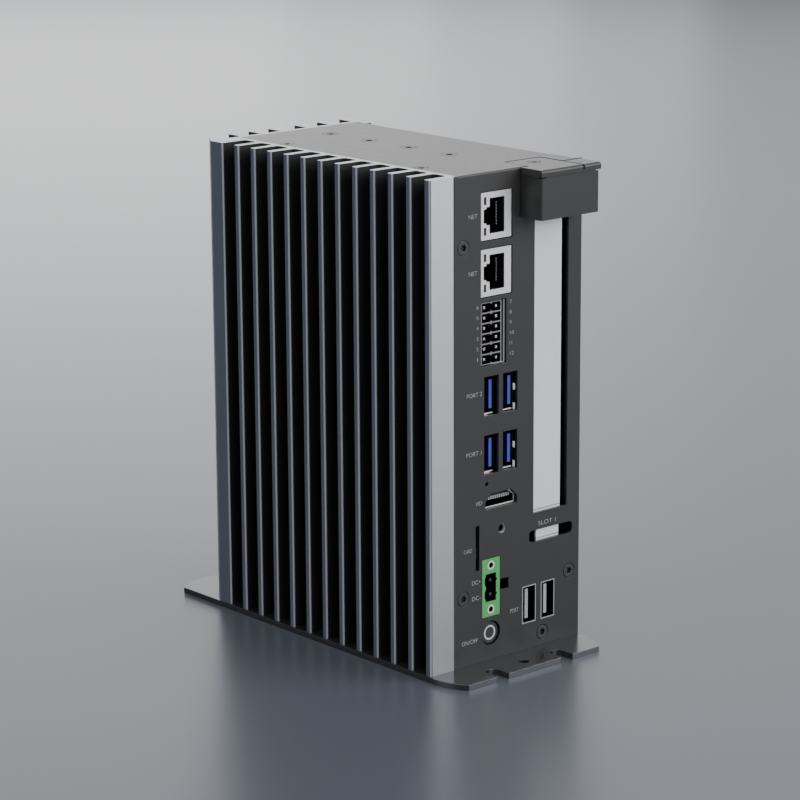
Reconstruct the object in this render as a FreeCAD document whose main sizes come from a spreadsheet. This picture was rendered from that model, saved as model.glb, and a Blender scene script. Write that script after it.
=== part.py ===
import FreeCAD, Part
import os
import Sketcher

# A fanless industrial computer: an L-shaped finned heat sink stands on a slotted base plate and
# carries a folded front cover, a side cover, the boards and the connectors on them.
# X runs to the right along the front panel, Y runs back into the housing and Z runs up.
# The origin is at the middle of the base plate's underside.

SIZES = {
    # Base plate
    "plate_length": 155.0,
    "plate_width": 70.0,
    "plate_thick": 2.0,
    "plate_front_reach": 14.5,
    "plate_margin": 0.5,
    "plate_corner_along": 13.5,
    "plate_corner_inset": 4.5,
    "plate_slot_width": 5.4,
    "plate_slot_depth": 7.5,
    "plate_slot_pitch": 30.0,
    "plate_hole_diameter": 3.4,
    "plate_hole_edge": 5.6,
    # Housing
    "body_width": 58.0,
    "body_height": 168.5,
    "sheet_thick": 1.2,
    "bend_radius": 0.6,
    # Heat sink
    "fin_depth": 11.0,
    "fin_thick": 2.8,
    "fin_first": 0.3,
    "fin_pitch": 9.0,
    "fin_chamfer": 0.6,
    "root_chamfer": 0.8,
    "wall_thick": 7.0,
    "wall_land": 2.0,
    "corner_fin_thick": 6.7,
    "corner_cut": 6.0,
    "rear_step": 1.0,
    "rear_fin_depth": 7.5,
    "rear_gap_width": 6.0,
    "rear_gap_first": -2.8,
    "rear_gap_pitch": 9.0,
    "rear_gap_second": 27.4,
    "rear_gap_second_pitch": 10.6,
    # Top of the front cover
    "flange_height": 12.0,
    "flange_start": 12.9,
    "flange_end": 105.3,
    "side_inset": 2.5,
    "seam": 0.2,
    # Expansion window, its blank and its retaining cap
    "window_left": 36.05,
    "window_right": 51.95,
    "window_bottom": 48.1,
    "window_top": 157.5,
    "blank_width": 18.4,
    "blank_thick": 0.9,
    "blank_right": 49.8,
    "tongue_width": 10.7,
    "tongue_inset": 0.6,
    "tongue_end": 34.5,
    "tab_reach": 8.5,
    "slot_left": 34.1,
    "slot_right": 54.7,
    "slot_bottom": 37.8,
    "slot_top": 42.0,
    "slot_corner": 1.5,
    "cap_left": 29.2,
    "cap_right": 55.9,
    "cap_reach": 10.4,
    "cap_bottom": 151.7,
    "cap_thick": 1.0,
    "cap_lip": 2.3,
    "cap_lip_proud": 0.35,
    "cap_bend": 1.0,
    "cap_gap": 1.0,
    "cap_tongue_left": 32.5,
    "cap_tongue_right": 47.9,
    "cap_tongue_length": 10.3,
    "relief_length": 2.0,
    "relief_height": 0.5,
    # Side cover vents
    "vent_length": 22.0,
    "vent_width": 2.4,
    "vent_pitch": 7.0,
    "vent_first": 48.0,
    # Network jacks
    "jack_left": 11.85,
    "jack_width": 13.6,
    "jack_height": 15.9,
    "jack_depth": 21.0,
    "jack_lower": 126.8,
    "jack_pitch": 19.0,
    "jack_recess": 0.3,
    "jack_wall": 0.3,
    "jack_clearance": 0.35,
    "plug_left": 3.85,
    "plug_width": 6.7,
    "plug_bottom": 2.0,
    "plug_height": 11.85,
    "plug_depth": 14.0,
    "latch_reach": 1.5,
    "latch_height": 6.1,
    "latch_tip_reach": 2.65,
    "latch_tip_height": 4.7,
    "light_left": 1.25,
    "light_width": 1.1,
    "light_height": 2.6,
    "light_edge": 1.55,
    "contact_pitch": 1.02,
    "contact_width": 0.5,
    # Twelve-pin input and output header
    "header_left": 11.95,
    "header_width": 9.4,
    "header_bottom": 103.6,
    "header_height": 21.2,
    "header_depth": 10.0,
    "header_recess": 0.5,
    "header_wall": 0.5,
    "header_pitch": 3.51,
    "header_pin": 0.9,
    "header_column": 5.45,
    "header_rail_gap": 0.7,
    "header_rail": 0.7,
    # Fast serial ports
    "port_left": 13.1,
    "port_width": 6.65,
    "port_height": 13.6,
    "port_pitch": 8.6,
    "port_upper": 86.0,
    "port_lower": 65.8,
    "shell_width": 5.7,
    "shell_height": 13.1,
    "shell_wall": 0.35,
    "shell_recess": 1.8,
    "shell_depth": 14.0,
    "shell_side_gap": 0.5,
    "insulator_back": 2.0,
    "port_tongue_thick": 1.3,
    "port_tongue_height": 9.9,
    "port_tongue_gap": 0.45,
    "port_tongue_recess": 0.4,
    # Plain serial ports
    "lower_port_left": 30.9,
    "lower_port_pitch": 8.85,
    "lower_port_width": 6.7,
    "lower_port_bottom": 9.3,
    "lower_port_height": 13.6,
    "lower_tongue_left": 2.3,
    "lower_tongue_thick": 1.4,
    "lower_tongue_height": 10.5,
    "lower_tongue_recess": 1.0,
    # Video port
    "video_left": 13.7,
    "video_right": 28.4,
    "video_bottom": 53.5,
    "video_top": 58.8,
    "video_shoulder": 56.2,
    "video_chamfer": 2.6,
    "video_recess": 1.5,
    "video_depth": 10.0,
    "video_wall": 0.4,
    # Small holes, lock insert and card slot
    "reset_x": 14.3,
    "reset_z": 62.5,
    "reset_diameter": 1.5,
    "lock_x": 21.4,
    "lock_z": 45.7,
    "lock_diameter": 3.2,
    "lock_bore": 2.6,
    "lock_length": 4.5,
    "sim_left": 9.3,
    "sim_right": 10.95,
    "sim_bottom": 32.8,
    "sim_top": 48.7,
    "sim_thick": 1.6,
    "sim_depth": 15.0,
    # Power header
    "power_left": 12.3,
    "power_width": 8.15,
    "power_bottom": 15.6,
    "power_height": 20.55,
    "power_depth": 12.0,
    "power_cavity_width": 5.2,
    "power_cavity_left": 1.15,
    "power_cavity_height": 9.8,
    "power_cavity_depth": 9.0,
    "power_pin": 1.0,
    "power_pin_pitch": 5.0,
    "power_insert_pitch": 15.6,
    "power_insert_diameter": 3.2,
    "power_insert_bore": 2.0,
    "power_clearance": 0.2,
    "key_width": 3.9,
    "key_bottom": 24.0,
    "key_height": 3.9,
    # Power button
    "button_x": 16.3,
    "button_z": 9.65,
    "button_diameter": 8.0,
    "button_recess": 0.6,
    "button_clearance": 0.3,
    "button_flange": 0.9,
    "button_travel": 1.0,
    "switch_face": 6.0,
    "switch_depth": 7.0,
    # Screws
    "head_diameter": 5.5,
    "shank_diameter": 3.0,
    "screw_length": 7.0,
    "drive_diameter": 1.9,
    "drive_depth": 1.3,
    "large_head_diameter": 6.2,
    "small_head_diameter": 4.6,
    "screw_left": 3.8,
    "screw_high": 144.4,
    "screw_low": 24.2,
    "screw_right": 53.3,
    "screw_bottom_x": 40.7,
    "screw_bottom_z": 4.6,
    "top_screw_x": 29.9,
    "top_screw_first": 35.7,
    "top_screw_pitch": 20.9,
    "ledge_screw_x": 4.2,
    "ledge_screw_front": 21.2,
    "ledge_screw_back": 91.2,
    "cap_screw_x": 39.8,
    "cap_screw_y": 4.4,
    # Boards and what they carry
    "board_thick": 1.6,
    "board_front": 4.0,
    "board_back": 102.0,
    "board_bottom": 6.0,
    "board_top": 163.0,
    "standoff_diameter": 5.0,
    "standoff_front": 28.0,
    "standoff_back": 97.0,
    "standoff_low": 12.0,
    "standoff_high": 157.0,
    "processor_side": 36.0,
    "processor_thick": 1.25,
    "processor_y": 60.0,
    "processor_z": 92.0,
    "pad_thick": 0.3,
    "memory_bottom": 52.0,
    "memory_length": 67.6,
    "memory_front": 62.0,
    "memory_width": 30.0,
    "memory_thick": 1.0,
    "memory_height": 2.0,
    "memory_socket_height": 4.0,
    "memory_socket_depth": 7.0,
    "drive_bottom": 128.0,
    "drive_width": 22.0,
    "drive_front": 44.0,
    "drive_length": 42.0,
    "drive_thick": 0.8,
    "drive_socket_height": 3.4,
    "drive_socket_depth": 6.0,
    "cell_y": 84.0,
    "cell_z": 24.0,
    "cell_diameter": 20.0,
    "cell_thick": 3.2,
    "cell_holder_wall": 1.2,
    "riser_bottom": 38.4,
    "riser_front": 24.0,
    "riser_back": 96.0,
    "riser_right": 50.0,
    "riser_socket_front": 34.0,
    "riser_socket_length": 44.0,
    "riser_socket_reach": 7.0,
    "riser_socket_height": 5.0,
    "card_slot_x": 35.0,
    "card_slot_front": 30.0,
    "card_slot_length": 25.0,
    "card_slot_width": 7.5,
    "card_slot_height": 11.2,
    "card_slot_gap": 1.8,
    "port_board_depth": 30.0,
    "port_board_bottom": 5.0,
    "port_board_top": 27.0,
    "rail_width": 9.0,
    "rail_height": 6.0,
    "rail_front": 27.0,
    "rail_back": 106.0,
    "bracket_height": 30.0,
    "bracket_depth": 12.0,
    "bracket_left": 36.0,
    "bracket_strip": 8.0,
    "bracket_tab": 5.5,
    "ear_height": 16.0,
    "ear_length": 12.0,
    "ear_front": 14.0,
    "ear_back": 92.0,
    "spacer_diameter": 4.0,
    "spacer_front": 8.0,
    "spacer_pitch": 19.0,
    "spacer_z": 18.5,
}

DOC = FreeCAD.newDocument("fanless_computer")
SHEET = DOC.addObject("Spreadsheet::Sheet", "Sizes")
for row, (alias, amount) in enumerate(SIZES.items(), start=1):
    SHEET.set(f"A{row}", alias)
    SHEET.set(f"B{row}", str(amount))
    SHEET.setAlias(f"B{row}", alias)
DOC.recompute()

NODES = []


# ---------------------------------------------------------------- sizes and their expressions

class Size:
    """A length in millimetres: its value, and the expression over the size sheet that gives it."""

    def __init__(self, value, text):
        self.value = value
        self.text = text

    def __add__(self, other):
        other = as_size(other)
        return Size(self.value + other.value, f"({self.text} + {other.text})")

    def __sub__(self, other):
        other = as_size(other)
        return Size(self.value - other.value, f"({self.text} - {other.text})")

    def __mul__(self, other):
        other = as_size(other)
        return Size(self.value * other.value, f"({self.text} * {other.text})")

    def __truediv__(self, other):
        other = as_size(other)
        return Size(self.value / other.value, f"({self.text} / {other.text})")

    def __radd__(self, other):
        return as_size(other) + self

    def __rsub__(self, other):
        return as_size(other) - self

    def __neg__(self):
        return as_size(0) - self


def as_size(item):
    """Return a plain number or a Size as a Size."""
    if isinstance(item, Size):
        return item
    return Size(float(item), f"({float(item)})")


class Sheet:
    """The cells of the size sheet, each as a Size under its alias."""

    def __getattr__(self, alias):
        return Size(SIZES[alias], f"Sizes.{alias}")


S = Sheet()

# The lower front left corner of the housing, where the panel meets the base plate: every piece
# but the plate is measured from here.
CORNER_X = S.fin_depth + S.plate_margin - S.plate_width / 2
CORNER_Y = S.plate_front_reach - S.plate_length / 2
CORNER_Z = S.plate_thick


def bind(item, path, size):
    """Drive a property of a document object from the size sheet."""
    item.setExpression(path, as_size(size).text)


def place(item, x, y, z):
    """Bind an object's place, measured from the housing's corner."""
    bind(item, "Placement.Base.x", CORNER_X + x)
    bind(item, "Placement.Base.y", CORNER_Y + y)
    bind(item, "Placement.Base.z", CORNER_Z + z)


def node(item, name):
    """Give a finished object the name of its node and list it for export."""
    item.Label = name
    NODES.append(item)
    return item


# ---------------------------------------------------------------- primitives and booleans

def box(name, x, y, z):
    """Make a block from three ranges, each a start and an end."""
    item = DOC.addObject("Part::Box", name)
    for side, (start, end) in zip(("Length", "Width", "Height"), (x, y, z)):
        bind(item, side, as_size(end) - start)
    place(item, x[0], y[0], z[0])
    return item


TURNS = {
    "x": FreeCAD.Rotation(FreeCAD.Vector(0, 1, 0), 90),
    "-x": FreeCAD.Rotation(FreeCAD.Vector(0, 1, 0), -90),
    "y": FreeCAD.Rotation(FreeCAD.Vector(1, 0, 0), -90),
    "z": FreeCAD.Rotation(),
    "-z": FreeCAD.Rotation(FreeCAD.Vector(1, 0, 0), 180),
}


def cylinder(name, heading, start, diameter, length):
    """Make a round bar from the middle of its first end, along a heading such as "y"."""
    item = DOC.addObject("Part::Cylinder", name)
    item.Placement.Rotation = TURNS[heading]
    bind(item, "Radius", as_size(diameter) / 2)
    bind(item, "Height", length)
    place(item, *start)
    return item


def cone(name, heading, start, wide, narrow, length):
    """Make a cone from its wide end, along a heading."""
    item = DOC.addObject("Part::Cone", name)
    item.Placement.Rotation = TURNS[heading]
    bind(item, "Radius1", as_size(wide) / 2)
    bind(item, "Radius2", as_size(narrow) / 2)
    bind(item, "Height", length)
    place(item, *start)
    return item


def fuse(name, *parts):
    """Join touching solids into one."""
    item = DOC.addObject("Part::MultiFuse", name)
    item.Shapes = list(parts)
    item.Refine = True
    return item


def cut(name, base, *tools):
    """Cut one or more tools out of a solid."""
    item = DOC.addObject("Part::Cut", name)
    item.Base = base
    item.Tool = tools[0] if len(tools) == 1 else fuse(name + "_tools", *tools)
    item.Refine = True
    return item


def group(name, parts):
    """Keep like pieces as separate solids in one object."""
    item = DOC.addObject("Part::Compound", name)
    item.Links = list(parts)
    return item


# ---------------------------------------------------------------- bodies and sketches

def body(name):
    """Start a body whose origin is the housing's corner."""
    item = DOC.addObject("PartDesign::Body", name)
    place(item, 0, 0, 0)
    return item


def origin_part(item, role):
    """Return one of a body's own origin planes or axes."""
    return next(part for part in item.Origin.OriginFeatures if part.Role == role)


def sketch(item, name, role, offset=0):
    """Attach a sketch to an origin plane of its body, moved along the plane's normal."""
    result = item.newObject("Sketcher::SketchObject", name)
    result.AttachmentSupport = [(origin_part(item, role), "")]
    result.MapMode = "FlatFace"
    bind(result, "AttachmentOffset.Base.z", offset)
    return result


def pin(item, edge, point, axis, size):
    """Hold one coordinate of a sketch point at a size from the sketch's origin."""
    size = as_size(size)
    row = item.addConstraint(Sketcher.Constraint("Distance" + axis, -1, 1, edge, point, size.value))
    item.setExpression(f"Constraints[{row}]", size.text)


def outline(item, corners, arcs=None):
    """Draw a closed outline through bound corners, with some sides as arcs.

    An arc is given under the number of its side as its turn (1 anticlockwise, -1 clockwise) and
    the centre coordinate that fixes it: "X" or "Y" and a size.
    """
    arcs = arcs or {}
    points = [(as_size(x), as_size(y)) for x, y in corners]
    ends = []
    for side, (start, end) in enumerate(zip(points, points[1:] + points[:1])):
        first = FreeCAD.Vector(start[0].value, start[1].value, 0)
        last = FreeCAD.Vector(end[0].value, end[1].value, 0)
        if side not in arcs:
            edge = item.addGeometry(Part.LineSegment(first, last), False)
            ends.append((edge, 1, 2))
            continue
        turn, axis, size = arcs[side]
        middle = (first + last) * 0.5
        chord = last - first
        normal = FreeCAD.Vector(-chord.y, chord.x, 0)
        known = as_size(size).value
        away = (known - middle.x) / normal.x if axis == "X" else (known - middle.y) / normal.y
        centre = middle + normal * away
        radius = (first - centre).Length
        crown = centre - normal * (turn * radius / normal.Length)
        edge = item.addGeometry(Part.Arc(first, crown, last), False)
        ends.append((edge, 1, 2) if turn > 0 else (edge, 2, 1))
        pin(item, edge, 3, axis, size)
    for (edge, start, end), (after, after_start, _), point in zip(ends, ends[1:] + ends[:1], points):
        item.addConstraint(Sketcher.Constraint("Coincident", edge, end, after, after_start))
        pin(item, edge, start, "X", point[0])
        pin(item, edge, start, "Y", point[1])


def rectangle(item, x, y):
    """Draw a rectangle from two ranges."""
    outline(item, [(x[0], y[0]), (x[1], y[0]), (x[1], y[1]), (x[0], y[1])])


def circle(item, x, y, diameter):
    """Draw a circle with its middle and its diameter bound."""
    x, y, diameter = as_size(x), as_size(y), as_size(diameter)
    middle = FreeCAD.Vector(x.value, y.value, 0)
    shape = Part.Circle(middle, FreeCAD.Vector(0, 0, 1), diameter.value / 2)
    edge = item.addGeometry(shape, False)
    pin(item, edge, 3, "X", x)
    pin(item, edge, 3, "Y", y)
    row = item.addConstraint(Sketcher.Constraint("Diameter", edge, diameter.value))
    item.setExpression(f"Constraints[{row}]", diameter.text)


def rounded_rectangle(item, x, y, radius):
    """Draw a rectangle with rounded corners from two ranges."""
    left, right = as_size(x[0]), as_size(x[1])
    low, high = as_size(y[0]), as_size(y[1])
    corners = [
        (left + radius, low), (right - radius, low), (right, low + radius), (right, high - radius),
        (right - radius, high), (left + radius, high), (left, high - radius), (left, low + radius),
    ]
    arcs = {1: (1, "X", right - radius), 3: (1, "X", right - radius),
            5: (1, "X", left + radius), 7: (1, "X", left + radius)}
    outline(item, corners, arcs)


def pad(item, profile, length, reverse=False):
    """Raise a sketch into solid material."""
    feature = item.newObject("PartDesign::Pad", profile.Name + "_pad")
    feature.Profile = profile
    bind(feature, "Length", length)
    feature.Reversed = reverse
    item.Tip = feature
    return feature


def pocket(item, profile, length=None, reverse=False):
    """Cut a sketch into the body, to a depth or right through."""
    feature = item.newObject("PartDesign::Pocket", profile.Name + "_pocket")
    feature.Profile = profile
    if length is None:
        feature.Type = "ThroughAll"
    else:
        bind(feature, "Length", length)
    feature.Reversed = reverse
    item.Tip = feature
    return feature


def repeat(item, feature, role, pitch, count):
    """Repeat a feature of a body in a row along one of its axes."""
    row = item.newObject("PartDesign::LinearPattern", feature.Name + "_row")
    row.Originals = [feature]
    row.Direction = (origin_part(item, role), [""])
    bind(row, "Length", as_size(pitch) * (count - 1))
    row.Occurrences = count
    item.Tip = row
    return row


def range_of(start, length):
    """Return the range that starts at a size and runs for a length."""
    return start, as_size(start) + length


# ---------------------------------------------------------------- shared places

FIN_COUNT = 12
ROOT_X = S.sheet_thick - S.wall_land
WALL_X = ROOT_X + S.wall_thick
FINS_Y = S.fin_first + S.fin_pitch * FIN_COUNT
REAR_Y = FINS_Y + S.corner_fin_thick
REAR_ROOT_Y = REAR_Y + S.rear_step
REAR_TIP_Y = REAR_ROOT_Y + S.rear_fin_depth
REAR_WALL_Y = REAR_ROOT_Y - S.wall_thick
COVER_BACK = REAR_ROOT_Y - S.wall_land
COVER_LEFT = S.sheet_thick
COVER_RIGHT = S.body_width - S.side_inset
UNDER_COVER = S.body_height - S.sheet_thick
BOARD_FACE = S.jack_left
BOARD_BACK_FACE = BOARD_FACE - S.board_thick
CAP_BACK = -S.cap_gap
CUT_RIGHT = S.cap_tongue_right + S.cap_gap
CUT_BACK = S.cap_tongue_length + S.cap_gap
SHELF_BOTTOM = UNDER_COVER - S.sheet_thick
JACK_BOTTOMS = [S.jack_lower + S.jack_pitch, S.jack_lower]
PORT_LEFTS = [S.port_left, S.port_left + S.port_pitch]
LOWER_PORT_LEFTS = [S.lower_port_left, S.lower_port_left + S.lower_port_pitch]
STANDOFFS = [(y, z) for y in (S.standoff_front, S.standoff_back)
             for z in (S.standoff_low, S.standoff_high)]
FRONT_SCREWS = [(S.screw_left, S.screw_high), (S.screw_left, S.screw_low),
                (S.screw_right, S.screw_low), (S.screw_bottom_x, S.screw_bottom_z)]
TOP_SCREWS = [(S.top_screw_x, S.top_screw_first + S.top_screw_pitch * step) for step in range(4)]
LEDGE_SCREWS = [(S.ledge_screw_x, S.ledge_screw_front), (S.ledge_screw_x, S.ledge_screw_back)]


# ---------------------------------------------------------------- housing

def make_heat_sink():
    """Extrude the L-shaped heat sink, cut its fins and sink the ledge that the cover lies on."""
    item = body("sink_body")
    profile = sketch(item, "sink_profile", "XY_Plane")
    outline(profile, [
        (-S.fin_depth + S.fin_chamfer, 0), (0, 0), (0, S.sheet_thick), (WALL_X, S.sheet_thick),
        (WALL_X, REAR_WALL_Y), (S.body_width, REAR_WALL_Y), (S.body_width, REAR_TIP_Y),
        (-S.fin_depth + S.corner_cut, REAR_TIP_Y), (-S.fin_depth, REAR_Y), (-S.fin_depth, S.fin_chamfer),
    ])
    pad(item, profile, S.body_height)

    def gap(name, start, width, tip, root, lengthwise):
        """Cut one gap: a mouth that flares past the tips and a floor with softened corners."""
        out = 1 if lengthwise else -1
        shape = sketch(item, name, "XY_Plane")
        across = [start - S.fin_chamfer * 2, start, start, start + S.root_chamfer,
                  start + width - S.root_chamfer, start + width, start + width,
                  start + width + S.fin_chamfer * 2]
        down = [tip + S.fin_chamfer * out, tip - S.fin_chamfer * out, root + S.root_chamfer * out, root,
                root, root + S.root_chamfer * out, tip - S.fin_chamfer * out, tip + S.fin_chamfer * out]
        corners = list(zip(across, down)) if lengthwise else list(zip(down, across))
        outline(shape, corners)
        return pocket(item, shape, reverse=True)

    width = S.fin_pitch - S.fin_thick
    side = gap("side_gap", S.fin_first + S.fin_thick, width, -S.fin_depth, ROOT_X, False)
    repeat(item, side, "Y_Axis", S.fin_pitch, FIN_COUNT)
    for name, first, pitch in (("rear_gap", S.rear_gap_first, S.rear_gap_pitch),
                               ("far_gap", S.rear_gap_second, S.rear_gap_second_pitch)):
        rear = gap(name, first, S.rear_gap_width, REAR_TIP_Y, REAR_ROOT_Y, True)
        repeat(item, rear, "X_Axis", pitch, 3)
    ledge = sketch(item, "cover_ledge", "XY_Plane", S.body_height)
    rectangle(ledge, (COVER_LEFT, COVER_RIGHT + S.seam), (0, COVER_BACK))
    pocket(item, ledge, S.sheet_thick)
    bores = [bore("end_bore", "y", (x, 0, z)) for x, z in FRONT_SCREWS[:2]]
    bores += [bore("ledge_bore", "-z", (x, y, S.body_height)) for x, y in LEDGE_SCREWS]
    bores += [bore("foot_bore", "z", (x, y, -S.plate_thick)) for x, y in base_screws()[:3]]
    return node(cut("drilled_sink", item, *bores), "heat_sink")


def panel_openings(item):
    """Cut the openings for the connectors, the card slot and the expansion window."""
    holes = sketch(item, "panel_holes", "XZ_Plane")
    clear = S.jack_clearance
    for low in JACK_BOTTOMS:
        rectangle(holes, (S.jack_left - clear, S.jack_left + S.jack_width + clear),
                  (low - clear, low + S.jack_height + clear))
    rail = S.header_rail_gap + S.header_rail
    rectangle(holes, (S.header_left - clear, S.header_left + S.header_width + rail + clear),
              (S.header_bottom - clear, S.header_bottom + S.header_height + clear))
    for low in (S.port_upper, S.port_lower):
        for left in PORT_LEFTS:
            rectangle(holes, range_of(left, S.port_width), range_of(low, S.port_height))
    for left in LOWER_PORT_LEFTS:
        rectangle(holes, range_of(left, S.lower_port_width),
                  range_of(S.lower_port_bottom, S.lower_port_height))
    outline(holes, video_outline(0))
    rectangle(holes, (S.sim_left, S.sim_right), (S.sim_bottom, S.sim_top))
    rectangle(holes, (S.window_left, S.window_right), (S.window_bottom, S.window_top))
    rounded_rectangle(holes, (S.slot_left, S.slot_right), (S.slot_bottom, S.slot_top), S.slot_corner)
    circle(holes, S.reset_x, S.reset_z, S.reset_diameter)
    circle(holes, S.lock_x, S.lock_z, S.lock_diameter)
    circle(holes, S.button_x, S.button_z, S.button_diameter + S.button_clearance * 2)
    power_right = S.power_left + S.power_width + S.power_clearance
    key_low, key_high = S.key_bottom, S.key_bottom + S.key_height
    low, high = S.power_bottom - S.power_clearance, S.power_bottom + S.power_height + S.power_clearance
    left = S.power_left - S.power_clearance
    outline(holes, [(left, low), (power_right, low), (power_right, key_low),
                    (power_right + S.key_width, key_low), (power_right + S.key_width, key_high),
                    (power_right, key_high), (power_right, high), (left, high)])
    pocket(item, holes, S.sheet_thick * 2)


def video_outline(inset):
    """Return the corners of the video port's outline, drawn in by a wall."""
    left, right = S.video_left + inset, S.video_right - inset
    low, high = S.video_bottom + inset, S.video_top - inset
    return [(left, low), (right, low), (right, S.video_shoulder), (right - S.video_chamfer, high),
            (left + S.video_chamfer, high), (left, S.video_shoulder)]


def make_front_cover():
    """Fold the panel, the top and the side flange from one sheet and cut the openings."""
    item = body("folded_sheet")
    high, bend = S.body_height, S.bend_radius
    panel = sketch(item, "panel", "XZ_Plane")
    outline(panel, [(0, 0), (S.body_width, 0), (S.body_width, high), (COVER_RIGHT, high),
                    (COVER_RIGHT, high - bend), (COVER_LEFT, high - bend), (COVER_LEFT, high), (0, high)])
    pad(item, panel, S.sheet_thick, reverse=True)
    top = sketch(item, "top", "YZ_Plane", COVER_LEFT)
    outline(top, [(0, high - S.sheet_thick - bend), (S.sheet_thick, high - S.sheet_thick - bend),
                  (S.sheet_thick, high - S.sheet_thick), (COVER_BACK - S.seam, high - S.sheet_thick),
                  (COVER_BACK - S.seam, high), (bend, high), (0, high - bend)],
            {5: (1, "X", bend)})
    pad(item, top, COVER_RIGHT - COVER_LEFT - bend)
    edge = sketch(item, "top_edge", "XY_Plane", UNDER_COVER)
    for near, far in ((bend, S.flange_start), (S.flange_end, COVER_BACK - S.seam)):
        rectangle(edge, (COVER_RIGHT - bend * 2, COVER_RIGHT), (near, far))
    pad(item, edge, S.sheet_thick)
    flange = sketch(item, "flange", "XZ_Plane", -S.flange_start)
    inner = COVER_RIGHT - S.sheet_thick
    outline(flange, [(inner, high - S.flange_height), (COVER_RIGHT, high - S.flange_height),
                     (COVER_RIGHT, high - bend), (COVER_RIGHT - bend, high), (inner, high)],
            {2: (1, "Y", high - bend)})
    pad(item, flange, S.flange_end - S.flange_start, reverse=True)
    panel_openings(item)
    cutout = sketch(item, "cap_cutout", "XY_Plane", high)
    rectangle(cutout, (S.cap_tongue_left - S.seam, CUT_RIGHT), (-S.sheet_thick, CUT_BACK))
    pocket(item, cutout, S.sheet_thick)
    sinks = [screw_clearance("panel_sink", "y", (x, 0, z), S.head_diameter) for x, z in FRONT_SCREWS]
    sinks += [screw_clearance("top_sink", "-z", (x, y, high), S.large_head_diameter) for x, y in TOP_SCREWS]
    sinks += [screw_clearance("ledge_sink", "-z", (x, y, high), S.head_diameter) for x, y in LEDGE_SCREWS]
    sinks += [bore("flange_bore", "-x", (COVER_RIGHT, y, z)) for y, z in side_screws()[:2]]
    return node(cut("drilled_cover", item, *sinks), "front_cover")


def make_side_cover():
    """Cut the flat side cover, its vents and its screw holes."""
    item = body("side_sheet")
    outer = COVER_RIGHT + S.sheet_thick
    sheet = sketch(item, "side_sheet", "YZ_Plane", COVER_RIGHT)
    rectangle(sheet, (S.sheet_thick + S.seam, REAR_WALL_Y), (0, S.body_height - S.side_inset))
    pad(item, sheet, S.sheet_thick)
    vent = sketch(item, "vent", "YZ_Plane", outer)
    for middle in (REAR_WALL_Y / 3, REAR_WALL_Y * 2 / 3):
        rounded_rectangle(vent, (middle - S.vent_length / 2, middle + S.vent_length / 2),
                          range_of(S.vent_first, S.vent_width), S.vent_width / 3)
    repeat(item, pocket(item, vent, S.sheet_thick * 2), "Z_Axis", S.vent_pitch, 12)
    sinks = [screw_clearance("side_sink", "-x", (outer, y, z), S.head_diameter) for y, z in side_screws()]
    return node(cut("drilled_side", item, *sinks), "side_cover")


def side_screws():
    """Return the places of the side cover's screws: two in the flange and one in each ear."""
    inset = S.flange_height / 2
    high = S.body_height - inset
    middle = S.ear_length / 2
    return [(S.flange_start + inset, high), (S.flange_end - inset, high),
            (S.ear_front + middle, S.ear_height / 2), (S.ear_back + middle, S.ear_height / 2)]


def make_base_plate():
    """Cut the base plate: arced corners, open slots and a hole at each end."""
    item = DOC.addObject("PartDesign::Body", "plate_body")
    across, along = S.plate_width / 2, S.plate_length / 2
    inset, run = S.plate_corner_inset, S.plate_corner_along
    shape = sketch(item, "plate_outline", "XY_Plane")
    outline(shape, [
        (-across + inset, -along), (across - inset, -along), (across, -along + run),
        (across, along - inset), (across - run, along), (-across + run, along),
        (-across, along - inset), (-across, -along + run),
    ], {1: (1, "Y", -along + run), 3: (1, "X", across - run),
        5: (1, "X", -across + run), 7: (1, "Y", -along + run)})
    pad(item, shape, S.plate_thick)
    ears = sketch(item, "ears", "XY_Plane", S.plate_thick)
    for start in (S.ear_front, S.ear_back):
        rectangle(ears, (CORNER_X + COVER_RIGHT - S.sheet_thick, CORNER_X + COVER_RIGHT),
                  range_of(CORNER_Y + start, S.ear_length))
    pad(item, ears, S.ear_height)
    ends = sketch(item, "end_slots", "XY_Plane")
    half, deep = S.plate_slot_width / 2, -along + S.plate_slot_depth
    for middle in (-S.plate_slot_pitch / 2, S.plate_slot_pitch / 2):
        outline(ends, [(middle - half, -along - half), (middle + half, -along - half),
                       (middle + half, deep - half), (middle - half, deep - half)],
                {2: (1, "Y", deep - half)})
    circle(ends, 0, -along + S.plate_hole_edge, S.plate_hole_diameter)
    slots = pocket(item, ends, reverse=True)
    mirror = item.newObject("PartDesign::Mirrored", "far_slots")
    mirror.Originals = [slots]
    mirror.MirrorPlane = (origin_part(item, "XZ_Plane"), [""])
    item.Tip = mirror
    sinks = [screw_clearance("plate_sink", "z", (x, y, -S.plate_thick), S.head_diameter)
             for x, y in base_screws()]
    sinks += [bore("ear_bore", "-x", (COVER_RIGHT, y, z)) for y, z in side_screws()[2:]]
    return node(cut("drilled_plate", item, *sinks), "base_plate")


def base_screws():
    """Return the places of the screws that hold the heat sink and the bracket from below."""
    wall = (ROOT_X + WALL_X) / 2
    rear = (REAR_ROOT_Y + REAR_WALL_Y) / 2
    right = COVER_RIGHT - S.ear_height / 4
    return [(wall, S.standoff_front), (wall, S.standoff_back), (right, rear), (right, S.spacer_front)]


# ---------------------------------------------------------------- screws

def screw_clearance(name, heading, start, head):
    """Make the cutter of a countersunk hole."""
    neck = S.shank_diameter
    return fuse(name, cone(name + "_cone", heading, start, head, neck, S.sheet_thick),
                cylinder(name + "_bore", heading, start, neck, S.screw_length))


def bore(name, heading, start):
    """Make the cutter of the hole that a screw's shank turns into."""
    return cylinder(name, heading, start, S.shank_diameter, S.screw_length)


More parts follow.
